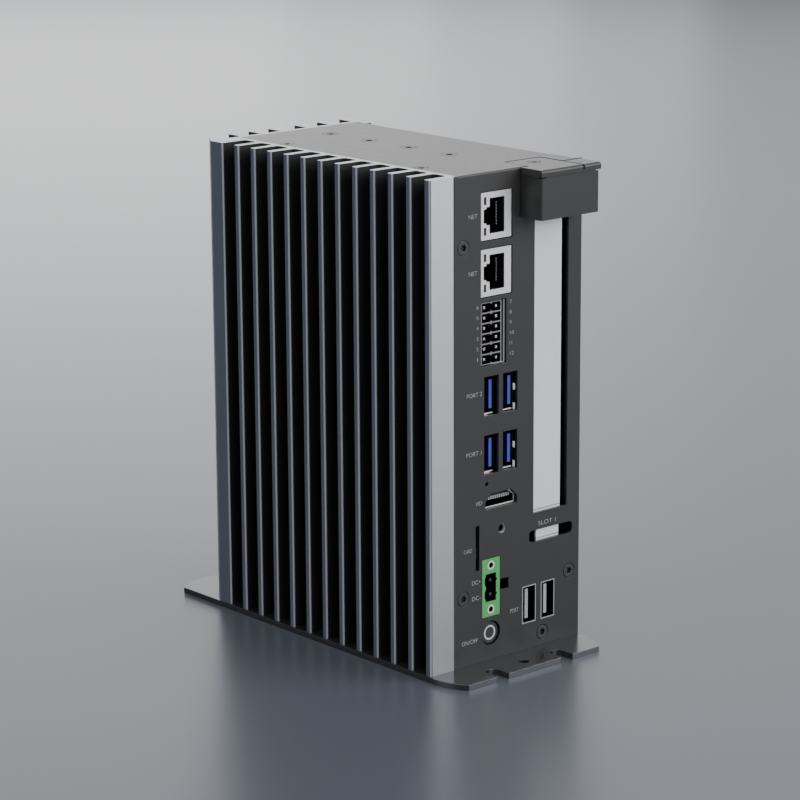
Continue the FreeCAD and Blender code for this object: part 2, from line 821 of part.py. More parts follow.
def screw(name, heading, start, head):
    """Make a countersunk screw with a drive recess, its face flush at the start point."""
    neck = S.shank_diameter
    solid = fuse(name + "_solid", cone(name + "_head", heading, start, head, neck, S.sheet_thick),
                 cylinder(name + "_shank", heading, start, neck, S.screw_length))
    return cut(name, solid, cylinder(name + "_drive", heading, start, S.drive_diameter, S.drive_depth))


def make_screws():
    """Make the sets of screws that hold the housing together."""
    high = S.body_height
    outer = COVER_RIGHT + S.sheet_thick
    sets = {
        "front_screws": ("y", [(x, 0, z) for x, z in FRONT_SCREWS], S.head_diameter),
        "top_screws": ("-z", [(x, y, high) for x, y in TOP_SCREWS], S.large_head_diameter),
        "ledge_screws": ("-z", [(x, y, high) for x, y in LEDGE_SCREWS], S.head_diameter),
        "side_screws": ("-x", [(outer, y, z) for y, z in side_screws()], S.head_diameter),
        "base_screws": ("z", [(x, y, -S.plate_thick) for x, y in base_screws()], S.head_diameter),
    }
    for name, (heading, starts, head) in sets.items():
        node(group(name, [screw(name + "_part", heading, start, head) for start in starts]), name)
    node(screw("cap_screw", "-z", (S.cap_screw_x, S.cap_screw_y, high), S.small_head_diameter), "cap_screw")
    heads = []
    for y, z in STANDOFFS:
        head = cylinder("board_screw_head", "x", (BOARD_FACE, y, z), S.head_diameter, S.board_thick)
        shank = cylinder("board_screw_shank", "-x", (BOARD_FACE, y, z), S.shank_diameter,
                         S.board_thick + S.shank_diameter)
        solid = fuse("board_screw_solid", head, shank)
        drive = cylinder("board_screw_drive", "-x", (BOARD_FACE + S.board_thick, y, z),
                         S.drive_diameter, S.drive_depth)
        heads.append(cut("board_screw", solid, drive))
    node(group("board_screws", heads), "board_screws")


# ---------------------------------------------------------------- expansion slot

def make_slot_blank():
    """Bend the blank that closes the expansion window: a plate, its tongue and its top tab."""
    item = body("slot_blank")
    left = S.blank_right - S.blank_width
    shoulder = S.window_bottom - S.blank_thick
    tongue_right = S.blank_right - S.tongue_inset
    tongue_left = tongue_right - S.tongue_width
    back = S.sheet_thick + S.blank_thick
    tab_top = S.window_top - S.seam * 2
    bend = S.blank_thick
    face = sketch(item, "blank_face", "XZ_Plane", -S.sheet_thick)
    outline(face, [(left, shoulder), (tongue_left, S.slot_top), (tongue_left, S.tongue_end),
                   (tongue_right, S.tongue_end), (tongue_right, shoulder), (S.blank_right, shoulder),
                   (S.blank_right, tab_top - bend), (left, tab_top - bend)])
    pad(item, face, S.blank_thick, reverse=True)
    tab_left = S.window_left + S.seam * 3
    tab = sketch(item, "blank_tab", "YZ_Plane", tab_left)
    outline(tab, [(back, tab_top - bend), (back - bend, tab_top), (-S.tab_reach, tab_top),
                  (-S.tab_reach, tab_top - bend)],
            {0: (1, "Y", tab_top - bend)})
    pad(item, tab, S.blank_right - tab_left)
    notch = sketch(item, "tab_notch", "XY_Plane", tab_top)
    middle = (tab_left + S.blank_right) / 2
    half = S.small_head_diameter / 2
    near = -S.tab_reach / 2
    outline(notch, [(middle - half, -S.tab_reach - half), (middle + half, -S.tab_reach - half),
                    (middle + half, near), (middle - half, near)], {2: (1, "Y", near)})
    pocket(item, notch, S.blank_thick * 2)
    return node(item, "slot_blank")


def make_slot_cap():
    """Fold the retaining cap: a lid with a rolled lip, a skirt round three sides and a tongue."""
    item = body("cap_body")
    high = S.body_height
    skirt_top = high - S.cap_lip
    bend = S.cap_bend
    proud = S.cap_lip_proud
    skirt = sketch(item, "skirt", "XY_Plane", S.cap_bottom)
    outline(skirt, [(S.cap_left, -S.seam), (S.cap_left, -S.cap_reach + bend),
                    (S.cap_left + bend, -S.cap_reach), (S.cap_right - bend, -S.cap_reach),
                    (S.cap_right, -S.cap_reach + bend), (S.cap_right, -S.seam)],
            {1: (1, "Y", -S.cap_reach + bend), 3: (1, "Y", -S.cap_reach + bend)})
    pad(item, skirt, skirt_top - S.cap_bottom)
    lid = sketch(item, "lid", "YZ_Plane", S.cap_left - proud)
    front = -S.cap_reach - proud
    outline(lid, [(front, skirt_top), (CAP_BACK, skirt_top), (CAP_BACK, high), (front + bend, high),
                  (front, high - bend)], {3: (1, "X", front + bend)})
    pad(item, lid, S.cap_right - S.cap_left + proud * 2)
    hollow = sketch(item, "hollow", "XY_Plane", S.cap_bottom)
    rectangle(hollow, (S.cap_left + S.cap_thick, S.cap_right - S.cap_thick),
              (-S.cap_reach + S.cap_thick, S.cap_thick))
    pocket(item, hollow, high - S.cap_thick - S.cap_bottom, reverse=True)
    tongue = sketch(item, "cap_tongue", "XY_Plane", UNDER_COVER)
    rounded_rectangle(tongue, (S.cap_tongue_left, S.cap_tongue_right),
                      (CAP_BACK - S.cap_thick, S.cap_tongue_length), S.cap_bend)
    pad(item, tongue, S.sheet_thick)
    relief = sketch(item, "relief", "XY_Plane", skirt_top)
    near = -S.cap_reach + S.relief_length
    for low, far in ((S.cap_left - bend, S.cap_left + S.relief_length),
                     (S.cap_right - S.relief_length, S.cap_right + bend)):
        rectangle(relief, (low, far), (-S.cap_reach - bend, near))
    pocket(item, relief, S.relief_height)
    sink = screw_clearance("cap_sink", "-z", (S.cap_screw_x, S.cap_screw_y, high), S.small_head_diameter)
    return node(cut("drilled_cap", item, sink), "slot_cap")


def make_inner_metal():
    """Make the shelf under the cap, the rail under the top and the bracket behind the panel."""
    sheet = S.sheet_thick
    flange = sheet * 3
    wide = (S.cap_left, S.cap_right - flange)
    shelf = fuse("shelf_sheets",
                 box("shelf_top", wide, (sheet, CUT_BACK + flange), (SHELF_BOTTOM, UNDER_COVER)),
                 box("shelf_front", wide, (sheet, sheet * 2), (SHELF_BOTTOM - flange, UNDER_COVER)))
    screw_hole = bore("shelf_bore", "-z", (S.cap_screw_x, S.cap_screw_y, S.body_height))
    node(cut("cap_shelf", shelf, screw_hole), "cap_shelf")

    half = S.rail_width / 2
    left, right = S.top_screw_x - half, S.top_screw_x + half
    low = UNDER_COVER - S.rail_height
    bar = box("rail_bar", (left, right), (S.rail_front, S.rail_back), (low, UNDER_COVER))
    bores = [bore("rail_bore", "-z", (x, y, S.body_height)) for x, y in TOP_SCREWS]
    node(cut("top_rail", bar, *bores), "top_rail")

    back = sheet * 2
    inner = COVER_RIGHT - sheet - S.seam
    angle = fuse("bracket_sheets",
                 box("bracket_strip", (S.bracket_left, inner), (sheet, back), (0, S.bracket_strip)),
                 box("bracket_tab", (inner - S.bracket_tab, inner), (sheet, back), (0, S.bracket_height)),
                 box("bracket_foot", (S.bracket_left, inner), (sheet, S.bracket_depth), (0, sheet)))
    holes = [bore("bracket_bore", "y", (x, 0, z)) for x, z in FRONT_SCREWS[2:]]
    x, y = base_screws()[3]
    holes.append(bore("bracket_foot_bore", "z", (x, y, -S.plate_thick)))
    node(cut("front_bracket", angle, *holes), "front_bracket")


# ---------------------------------------------------------------- network jacks

def make_network_jack(number, low):
    """Make one jack: its shield, the moulding inside, the contacts and the two light windows."""
    item = body(f"lan_shield_{number}")
    face = S.jack_recess
    inside = face + S.jack_wall
    back = face + S.jack_depth
    left, right = S.jack_left, S.jack_left + S.jack_width
    high = low + S.jack_height
    wall = S.jack_wall
    can = sketch(item, f"can_{number}", "XZ_Plane", -face)
    rectangle(can, (left, right), (low, high))
    pad(item, can, S.jack_depth, reverse=True)
    room = sketch(item, f"can_room_{number}", "XZ_Plane", -back)
    rectangle(room, (left + wall, right - wall), (low + wall, high - wall))
    pocket(item, room, S.jack_depth - wall, reverse=True)
    mouth = sketch(item, f"can_mouth_{number}", "XZ_Plane", -face)
    outline(mouth, plug_outline(left, low))
    for start in light_starts(low):
        rectangle(mouth, range_of(left + S.light_left, S.light_width), range_of(start, S.light_height))
    pocket(item, mouth, wall * 2)
    node(item, f"lan_shield_{number}")

    core = body(f"lan_insert_{number}")
    block = sketch(core, f"insert_{number}", "XZ_Plane", -inside)
    rectangle(block, (left + wall, right - wall), (low + wall, high - wall))
    for start in light_starts(low):
        rectangle(block, range_of(left + S.light_left, S.light_width), range_of(start, S.light_height))
    pad(core, block, back - inside, reverse=True)
    room = sketch(core, f"plug_room_{number}", "XZ_Plane", -inside)
    outline(room, plug_outline(left, low))
    pocket(core, room, S.plug_depth)
    node(core, f"lan_insert_{number}")

    lights = [box("light", range_of(left + S.light_left, S.light_width), (face, back),
                  range_of(start, S.light_height)) for start in light_starts(low)]
    node(group(f"lan_lights_{number}", lights), f"lan_lights_{number}")

    plug_right = left + S.plug_left + S.plug_width
    middle = low + S.plug_bottom + S.plug_height / 2
    contacts = []
    for step in range(8):
        centre = middle + S.contact_pitch * (step - 3.5)
        tall = range_of(centre - S.contact_width / 2, S.contact_width)
        contacts.append(box("contact", (plug_right - S.plug_left / 2, plug_right), (inside + S.plug_left,
                        inside + S.plug_depth - S.plug_bottom), tall))
    node(group(f"lan_contacts_{number}", contacts), f"lan_contacts_{number}")


def light_starts(low):
    """Return the lower edges of a jack's two light windows."""
    return [low + S.light_edge, low + S.jack_height - S.light_edge - S.light_height]


def plug_outline(left, low):
    """Return the corners of the plug opening, stepped out on one side for the plug's latch."""
    start, end = left + S.plug_left, left + S.plug_left + S.plug_width
    bottom = low + S.plug_bottom
    top = bottom + S.plug_height
    middle = bottom + S.plug_height / 2
    latch, tip = S.latch_height / 2, S.latch_tip_height / 2
    near, far = start - S.latch_reach, start - S.latch_tip_reach
    return [(start, bottom), (end, bottom), (end, top), (start, top), (start, middle + latch),
            (near, middle + latch), (near, middle + tip), (far, middle + tip), (far, middle - tip),
            (near, middle - tip), (near, middle - latch), (start, middle - latch)]


# ---------------------------------------------------------------- input and output header

def make_io_header():
    """Make the header: a block with two columns of six cells, a guide rail and twelve pins."""
    left, right = S.header_left, S.header_left + S.header_width
    low, high = S.header_bottom, S.header_bottom + S.header_height
    face, back = S.header_recess, S.header_recess + S.header_depth
    wall, middle = S.header_wall, (left + right) / 2
    first = (low + high) / 2 - S.header_pitch * 2.5
    item = body("io_header")
    block = sketch(item, "header_block", "XZ_Plane", -face)
    rectangle(block, (BOARD_FACE, right), (low, high))
    pad(item, block, S.header_depth, reverse=True)
    cell = sketch(item, "header_cell", "XZ_Plane", -face)
    half = (S.header_pitch - wall) / 2
    neck = half - wall
    outline(cell, [(left + wall, first - half), (middle - wall, first - half), (middle, first - neck),
                   (middle + wall, first - half), (right - wall, first - half),
                   (right - wall, first + half), (middle + wall, first + half),
                   (middle, first + neck), (middle - wall, first + half), (left + wall, first + half)])
    repeat(item, pocket(item, cell, S.header_depth - wall * 4), "Z_Axis", S.header_pitch, 6)
    rail = sketch(item, "header_rail", "XZ_Plane", -face)
    rectangle(rail, range_of(right + S.header_rail_gap, S.header_rail), (low, high))
    pad(item, rail, S.header_depth, reverse=True)
    bridge = sketch(item, "header_bridge", "XZ_Plane", -back)
    rectangle(bridge, (right - wall, right + S.header_rail_gap + S.header_rail), (low, high))
    pad(item, bridge, wall * 4)
    node(item, "io_header")

    size = S.header_pin / 2
    floor = back - wall * 4
    pins = []
    for row in range(6):
        centre = first + S.header_pitch * row
        for column in (-1, 1):
            x = middle + S.header_column / 2 * column
            pins.append(box("header_pin", (x - size, x + size), (face + wall, floor),
                            (centre - size, centre + size)))
    node(group("io_header_pins", pins), "io_header_pins")


# ---------------------------------------------------------------- serial and video ports

def make_shell(name, x, z, y, wall):
    """Make a rectangular port shell, open at both ends."""
    outer = box(name + "_outer", x, y, z)
    inner = box(name + "_inner", (x[0] + wall, x[1] - wall), y, (z[0] + wall, z[1] - wall))
    return node(cut(name, outer, inner), name)


def make_fast_ports():
    """Make two stacks of two ports: a shell for each and one moulding with two tongues."""
    front = S.shell_recess
    back = front + S.shell_depth
    number = 0
    for stack, port_low in (("upper", S.port_upper), ("lower", S.port_lower)):
        low = port_low + (S.port_height - S.shell_height) / 2
        middle = low + S.shell_height / 2
        right = PORT_LEFTS[1] + S.shell_side_gap + S.shell_width
        carrier = [box("carrier", (BOARD_FACE, right), (back, back + S.insulator_back),
                       range_of(low, S.shell_height))]
        for left in PORT_LEFTS:
            number += 1
            x = range_of(left + S.shell_side_gap, S.shell_width)
            make_shell(f"usb3_shell_{number}", x, range_of(low, S.shell_height), (front, back), S.shell_wall)
            edge = x[1] - S.shell_wall - S.port_tongue_gap
            half = S.port_tongue_height / 2
            carrier.append(box("tongue", (edge - S.port_tongue_thick, edge),
                               (front + S.port_tongue_recess, back), (middle - half, middle + half)))
        node(fuse(f"usb3_insulator_{stack}", *carrier), f"usb3_insulator_{stack}")


def make_plain_ports():
    """Make the two plain ports on their own small board."""
    clear = S.seam / 2
    low, high = S.lower_port_bottom + clear, S.lower_port_bottom + S.lower_port_height - clear
    back = S.shell_depth
    middle = (low + high) / 2
    board = LOWER_PORT_LEFTS[1] + S.lower_port_width
    carrier = [box("plain_carrier", (LOWER_PORT_LEFTS[0] + clear, board), (back, back + S.insulator_back),
                   (low, high))]
    half = S.lower_tongue_height / 2
    for number, left in enumerate(LOWER_PORT_LEFTS, start=1):
        x = (left + clear, left + S.lower_port_width - clear)
        make_shell(f"usb2_shell_{number}", x, (low, high), (0, back), S.shell_wall)
        carrier.append(box("plain_tongue", range_of(left + S.lower_tongue_left, S.lower_tongue_thick),
                           (S.lower_tongue_recess, back), (middle - half, middle + half)))
    node(fuse("usb2_insulator", *carrier), "usb2_insulator")
    plate = box("port_plate", range_of(board, S.board_thick), (S.sheet_thick * 3, S.port_board_depth),
                (S.port_board_bottom, S.port_board_top))
    node(plate, "port_board")
    far = board + S.board_thick
    spacers = [cylinder("spacer", "x", (far, S.spacer_front + S.spacer_pitch * step, S.spacer_z),
                        S.spacer_diameter, COVER_RIGHT - far) for step in range(2)]
    node(group("port_board_spacers", spacers), "port_board_spacers")


def make_video_port():
    """Make the video port: a shell with two sloped corners, and its moulding."""
    item = body("video_shell")
    clear = S.seam / 2
    shape = sketch(item, "video_wall", "XZ_Plane", -S.video_recess)
    outline(shape, video_outline(clear))
    outline(shape, video_outline(clear + S.video_wall))
    pad(item, shape, S.video_depth, reverse=True)
    node(item, "video_shell")
    back = S.video_recess + S.video_depth
    middle = (S.video_bottom + S.video_top) / 2
    inset = S.video_wall * 5
    tongue = box("video_blade", (S.video_left + inset, S.video_right - inset),
                 (S.video_recess + S.video_wall, back), (middle, middle + S.video_wall * 3))
    carrier = box("video_carrier", (BOARD_FACE, S.video_right), (back, back + S.insulator_back),
                  (S.video_bottom, S.video_top))
    node(fuse("video_insulator", tongue, carrier), "video_insulator")


# ---------------------------------------------------------------- power header, lock and card socket

def make_power_header():
    """Make the flanged power header: keyed cavity, two pins and two threaded inserts."""
    left, right = S.power_left, S.power_left + S.power_width
    low, high = S.power_bottom, S.power_bottom + S.power_height
    middle_x, middle = (left + right) / 2, (low + high) / 2
    item = body("power_header")
    block = sketch(item, "power_block", "XZ_Plane")
    rectangle(block, (left, right), (low, high))
    pad(item, block, S.power_depth, reverse=True)
    foot = sketch(item, "power_foot", "XZ_Plane", -S.power_depth)
    rectangle(foot, (BOARD_FACE, left + S.power_clearance), (low, high))
    pad(item, foot, S.power_depth - S.sheet_thick * 2)
    cavity = sketch(item, "power_cavity", "XZ_Plane")
    start = left + S.power_cavity_left
    end = start + S.power_cavity_width
    half, waist = S.power_cavity_height / 2, S.power_pin_pitch / 8
    outline(cavity, [(start, middle - half), (end, middle - half), (end, middle + half),
                     (start, middle + half), (start, middle + waist), (start + waist, middle),
                     (start, middle - waist)])
    pocket(item, cavity, S.power_cavity_depth)
    keys = sketch(item, "power_keys", "XZ_Plane")
    for side in (-1, 1):
        circle(keys, end, middle + S.power_pin_pitch / 2 * side, S.power_pin)
    pocket(item, keys, S.power_cavity_depth)
    seats = sketch(item, "insert_seats", "XZ_Plane")
    for side in (-1, 1):
        circle(seats, middle_x, middle + S.power_insert_pitch / 2 * side, S.power_insert_diameter)
    pocket(item, seats, S.power_cavity_depth)
    node(item, "power_header")

    size = S.power_pin / 2
    inserts, pins = [], []
    for side in (-1, 1):
        z = middle + S.power_insert_pitch / 2 * side
        outer = cylinder("insert_outer", "y", (middle_x, 0, z), S.power_insert_diameter,
                         S.power_cavity_depth)
        inner = cylinder("insert_inner", "y", (middle_x, 0, z), S.power_insert_bore, S.power_cavity_depth)
        inserts.append(cut("insert", outer, inner))
        centre = middle + S.power_pin_pitch / 2 * side
        pins.append(box("power_pin", (middle_x - size, middle_x + size),
                        (S.power_clearance * 2, S.power_cavity_depth), (centre - size, centre + size)))
    node(group("power_header_inserts", inserts), "power_header_inserts")
    node(group("power_header_pins", pins), "power_header_pins")


def make_lock_and_card_socket():
    """Make the threaded lock insert and the card socket on the board's inner face."""
    outer = cylinder("lock_outer", "y", (S.lock_x, S.sheet_thick, S.lock_z),
                     S.lock_diameter + S.sheet_thick * 2, S.lock_length)
    inner = cylinder("lock_inner", "y", (S.lock_x, S.sheet_thick, S.lock_z), S.lock_bore, S.lock_length)
    node(cut("lock_insert", outer, inner), "lock_insert")
    wall = S.sim_thick / 4
    right = BOARD_BACK_FACE
    left = right - S.sim_thick
    front = S.sheet_thick + S.seam
    shell = box("card_shell", (left, right), range_of(front, S.sim_depth), (S.sim_bottom, S.sim_top))
    room = box("card_room", (left + wall, right - wall), range_of(front, S.sim_depth - S.sim_thick),
               (S.sim_bottom + wall, S.sim_top - wall))
    node(cut("sim_socket", shell, room), "sim_socket")


# ---------------------------------------------------------------- power button

def make_power_button():
    """Turn the button and make the switch behind it, whose plunger stands in the button's bore."""
    item = DOC.addObject("PartDesign::Body", "power_button")
    place(item, S.button_x, 0, S.button_z)
    radius = S.button_diameter / 2
    flange_front = S.sheet_thick + S.button_clearance
    flange_back = flange_front + S.button_flange
    skirt_end = S.switch_face - S.button_travel - S.button_clearance
    skirt = radius - S.button_flange / 2
    bore_radius = S.switch_depth / 3
    bore_floor = flange_back + S.button_clearance
    profile = sketch(item, "button_profile", "XY_Plane")
    outline(profile, [(0, S.button_recess), (radius - S.button_clearance, S.button_recess),
                      (radius, S.button_recess + S.button_clearance), (radius, flange_front),
                      (radius + S.button_flange, flange_front), (radius + S.button_flange, flange_back),
                      (skirt, flange_back), (skirt, skirt_end), (bore_radius, skirt_end),
                      (bore_radius, bore_floor), (0, bore_floor)])
    turn = item.newObject("PartDesign::Revolution", "button_turned")
    turn.Profile = profile
    turn.ReferenceAxis = (profile, ["V_Axis"])
    turn.Angle = 360
    item.Tip = turn
    node(item, "power_button")

    half = S.button_diameter / 2 + S.button_clearance
    low = S.button_z - half
    case = box("switch_case", (BOARD_FACE, S.button_x + half), range_of(S.switch_face, S.switch_depth),
               (low, low + half * 2))
    tip = bore_floor + S.button_travel + S.button_clearance / 2
    plunger = cylinder("switch_plunger", "y", (S.button_x, tip, S.button_z),
                       (bore_radius - S.button_clearance) * 2, S.switch_face - tip)
    node(fuse("power_switch", case, plunger), "power_switch")


# ---------------------------------------------------------------- boards

def make_mainboard():
    """Make the mainboard on its standoffs, with the processor clamped to the heat sink's wall."""
    plate = box("board_plate", (BOARD_BACK_FACE, BOARD_FACE), (S.board_front, S.board_back),
                (S.board_bottom, S.board_top))
    holes = [cylinder("board_hole", "x", (BOARD_BACK_FACE, y, z), S.shank_diameter, S.board_thick)
             for y, z in STANDOFFS]
    node(cut("mainboard", plate, *holes), "mainboard")
    posts = []
    for y, z in STANDOFFS:
        post = cylinder("post", "x", (WALL_X, y, z), S.standoff_diameter, BOARD_BACK_FACE - WALL_X)
        hole = cylinder("post_hole", "-x", (BOARD_BACK_FACE, y, z), S.shank_diameter, S.shank_diameter)
        posts.append(cut("standoff", post, hole))
    node(group("board_standoffs", posts), "board_standoffs")

    half = S.processor_side / 2
    y = (S.processor_y - half, S.processor_y + half)
    z = (S.processor_z - half, S.processor_z + half)
    chip = BOARD_BACK_FACE - S.processor_thick
    node(box("processor", (chip, BOARD_BACK_FACE), y, z), "processor")
    node(box("thermal_pad", (chip - S.pad_thick, chip), y, z), "thermal_pad")
    margin = S.processor_side / 6
    node(box("heat_spreader", (WALL_X, chip - S.pad_thick), (y[0] - margin, y[1] + margin),
             (z[0] - margin, z[1] + margin)), "heat_spreader")


def make_board_modules():
    """Make what stands on the mainboard: memory, drive, coin cell and riser."""
    face = BOARD_FACE
    seat = S.memory_height / 2
    low = S.memory_bottom
    card = (face + S.memory_height - S.memory_thick / 2, face + S.memory_height + S.memory_thick / 2)
    socket = box("memory_block", range_of(face, S.memory_socket_height),
                 (S.memory_front - S.memory_socket_depth + seat, S.memory_front + seat),
                 (low - seat, low + S.memory_length + seat))
    card_body = box("memory_card", card, range_of(S.memory_front, S.memory_width),
                    range_of(low, S.memory_length))
    slot = box("memory_slot", card, range_of(S.memory_front, S.memory_width), range_of(low, S.memory_length))
    node(cut("memory_socket", socket, slot), "memory_socket")
    node(card_body, "memory_module")

    low = S.drive_bottom
    card = (face + S.drive_socket_height / 2, face + S.drive_socket_height / 2 + S.drive_thick)
    socket = box("drive_block", range_of(face, S.drive_socket_height),
                 (S.drive_front - S.drive_socket_depth + seat, S.drive_front + seat),
                 (low - seat, low + S.drive_width + seat))
    slot = box("drive_slot", card, range_of(S.drive_front, S.drive_length), range_of(low, S.drive_width))
    node(cut("drive_socket", socket, slot), "drive_socket")
    node(box("drive_card", card, range_of(S.drive_front, S.drive_length), range_of(low, S.drive_width)),
         "solid_state_drive")

    wall = S.cell_holder_wall
    holder = cylinder("cell_cup", "x", (face, S.cell_y, S.cell_z), S.cell_diameter + wall * 2,
                      S.cell_thick + wall)
    room = cylinder("cell_room", "x", (face + wall, S.cell_y, S.cell_z), S.cell_diameter, S.cell_thick)
    node(cut("coin_cell_holder", holder, room), "coin_cell_holder")
    node(cylinder("cell", "x", (face + wall, S.cell_y, S.cell_z), S.cell_diameter, S.cell_thick),
         "coin_cell")

    low, high = S.riser_bottom, S.riser_bottom + S.board_thick
    grip = S.riser_socket_reach / 2
    margin = (S.riser_socket_height - S.board_thick) / 2
    socket = box("riser_block", range_of(face, S.riser_socket_reach),
                 range_of(S.riser_socket_front, S.riser_socket_length), (low - margin, high + margin))
    sheet = (face + grip, S.riser_right)
    slot = box("riser_slot", sheet, (S.riser_front, S.riser_back), (low, high))
    node(cut("riser_socket", socket, slot), "riser_socket")
    node(box("riser_sheet", sheet, (S.riser_front, S.riser_back), (low, high)), "riser_board")
    half, gap = S.card_slot_width / 2, S.card_slot_gap / 2
    x = S.card_slot_x
    body_y = range_of(S.card_slot_front, S.card_slot_length)
    top = high + S.card_slot_height
    block = box("slot_block", (x - half, x + half), body_y, (high, top))
    groove = box("slot_groove", (x - gap, x + gap), (S.card_slot_front + gap, body_y[1] - gap),
                 (high + S.card_slot_height / 4, top))
    node(cut("card_slot", block, groove), "card_slot")


def check_document():
    """Stop if an object of the document failed or a node's shape is missing or broken."""
    failed = [item.Name for item in DOC.Objects if {"Invalid", "Error"} & set(item.State)]
    if failed:
        raise RuntimeError(f"failed objects: {failed}")
    for item in NODES:
        if item.Shape.isNull() or not item.Shape.isValid():
            raise RuntimeError(f"broken shape: {item.Label}")


make_heat_sink()
make_front_cover()
make_side_cover()
make_base_plate()
make_screws()
make_slot_blank()
make_slot_cap()
make_inner_metal()
for jack_number, jack_low in enumerate(JACK_BOTTOMS, start=1):
    make_network_jack(jack_number, jack_low)
make_io_header()
make_fast_ports()
make_plain_ports()
make_video_port()
make_power_header()
make_lock_and_card_socket()
make_power_button()
make_mainboard()
make_board_modules()
DOC.recompute()
check_document()
os.makedirs("parts", exist_ok=True)
for item in NODES:
    item.Shape.exportStep(f"parts/{item.Label}.step")
    print(item.Label, round(item.Shape.Volume, 1), len(item.Shape.Solids))
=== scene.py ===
import logging
import math
from dataclasses import dataclass, replace
from enum import Enum
from typing import Callable, Optional, Sequence, Union

import bmesh
import bpy
from mathutils import Matrix, Vector


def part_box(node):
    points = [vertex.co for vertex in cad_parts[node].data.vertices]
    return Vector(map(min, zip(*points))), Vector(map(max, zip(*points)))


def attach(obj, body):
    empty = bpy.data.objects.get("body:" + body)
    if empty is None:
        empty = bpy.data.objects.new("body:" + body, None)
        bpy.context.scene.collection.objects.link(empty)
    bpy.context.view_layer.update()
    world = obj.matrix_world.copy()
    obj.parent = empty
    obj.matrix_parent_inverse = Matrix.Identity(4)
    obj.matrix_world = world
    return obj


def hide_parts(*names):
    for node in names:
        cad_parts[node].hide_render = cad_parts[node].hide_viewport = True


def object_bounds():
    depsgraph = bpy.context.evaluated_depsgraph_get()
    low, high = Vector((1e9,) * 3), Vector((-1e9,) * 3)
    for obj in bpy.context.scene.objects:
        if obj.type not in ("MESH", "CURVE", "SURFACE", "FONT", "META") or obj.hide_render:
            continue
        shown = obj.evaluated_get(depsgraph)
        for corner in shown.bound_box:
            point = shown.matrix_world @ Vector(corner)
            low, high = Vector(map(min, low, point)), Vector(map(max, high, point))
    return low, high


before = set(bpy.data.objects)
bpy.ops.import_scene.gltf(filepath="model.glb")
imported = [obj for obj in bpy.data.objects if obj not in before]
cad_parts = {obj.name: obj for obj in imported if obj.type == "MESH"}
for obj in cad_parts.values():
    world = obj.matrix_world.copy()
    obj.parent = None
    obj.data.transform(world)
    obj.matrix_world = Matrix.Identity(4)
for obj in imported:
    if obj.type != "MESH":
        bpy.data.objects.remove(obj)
CAD_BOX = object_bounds()
LOG = logging.getLogger("industrial_computer")
MM = 0.001

Colour = tuple[float, float, float]
Box = tuple[Vector, Vector]
Value = Union[float, Colour, bpy.types.NodeSocket, "Flow"]


class Facing(Enum):
    """The side that a piece made about the origin, looking up +Z, is turned towards."""

    FRONT = Matrix.Rotation(math.radians(90), 4, "X")
    RIGHT = Matrix.Rotation(math.radians(90), 4, "Y") @ Matrix.Rotation(math.radians(90), 4, "Z")
    UP = Matrix.Identity(4)
    DOWN = Matrix.Rotation(math.radians(180), 4, "X")


class Axis(Enum):
    """The axis that a streak or a brush mark runs along."""

    X = 0
    Y = 1
    Z = 2


def tone(red: int, green: int, blue: int) -> Colour:
    """Turn display values from 0 to 255 into a linear colour."""
    return tuple((v / 255 / 12.92) if v <= 10 else ((v / 255 + 0.055) / 1.055) ** 2.4
                 for v in (red, green, blue))


# ---------------------------------------------------------------- shader graph

class Flow:
    """A shader value whose operators add Math nodes to its graph."""

    def __init__(self, graph: "Graph", socket: bpy.types.NodeSocket) -> None:
        """Keep the graph and the socket that the value comes from."""
        self.graph = graph
        self.socket = socket

    def math(self, operation: str, *others: Value) -> "Flow":
        """Add a Math node with this value first.

        Args:
            operation: The Math node's operation.
            others: The values of its other inputs.

        Returns:
            The node's result.
        """
        values = dict(enumerate((self, *others)))
        return self.graph.add("ShaderNodeMath", {"operation": operation}, values)

    def __add__(self, other: Value) -> "Flow":
        """Add."""
        return self.math("ADD", other)

    __radd__ = __add__

    def __sub__(self, other: Value) -> "Flow":
        """Subtract."""
        return self.math("SUBTRACT", other)

    def __rsub__(self, other: float) -> "Flow":
        """Subtract this value from a number."""
        return self * -1.0 + other

    def __mul__(self, other: Value) -> "Flow":
        """Multiply."""
        return self.math("MULTIPLY", other)

    __rmul__ = __mul__

    def __gt__(self, other: Value) -> "Flow":
        """Give 1 where this value is greater."""
        return self.math("GREATER_THAN", other)

    def __lt__(self, other: Value) -> "Flow":
        """Give 1 where this value is less."""
        return self.math("LESS_THAN", other)

    def spread(self, low: float, high: float) -> "Flow":
        """Map 0 to 1 onto a range.

        Args:
            low: The result at 0.
            high: The result at 1.

        Returns:
            The mapped value, clamped to the range.
        """
        return self.graph.add("ShaderNodeMapRange", {}, {0: self, 3: low, 4: high})

    def window(self, start: float, end: float) -> "Flow":
        """Rise from 0 at the start to 1 at the end."""
        return self.graph.add("ShaderNodeMapRange", {}, {0: self, 1: start, 2: end})


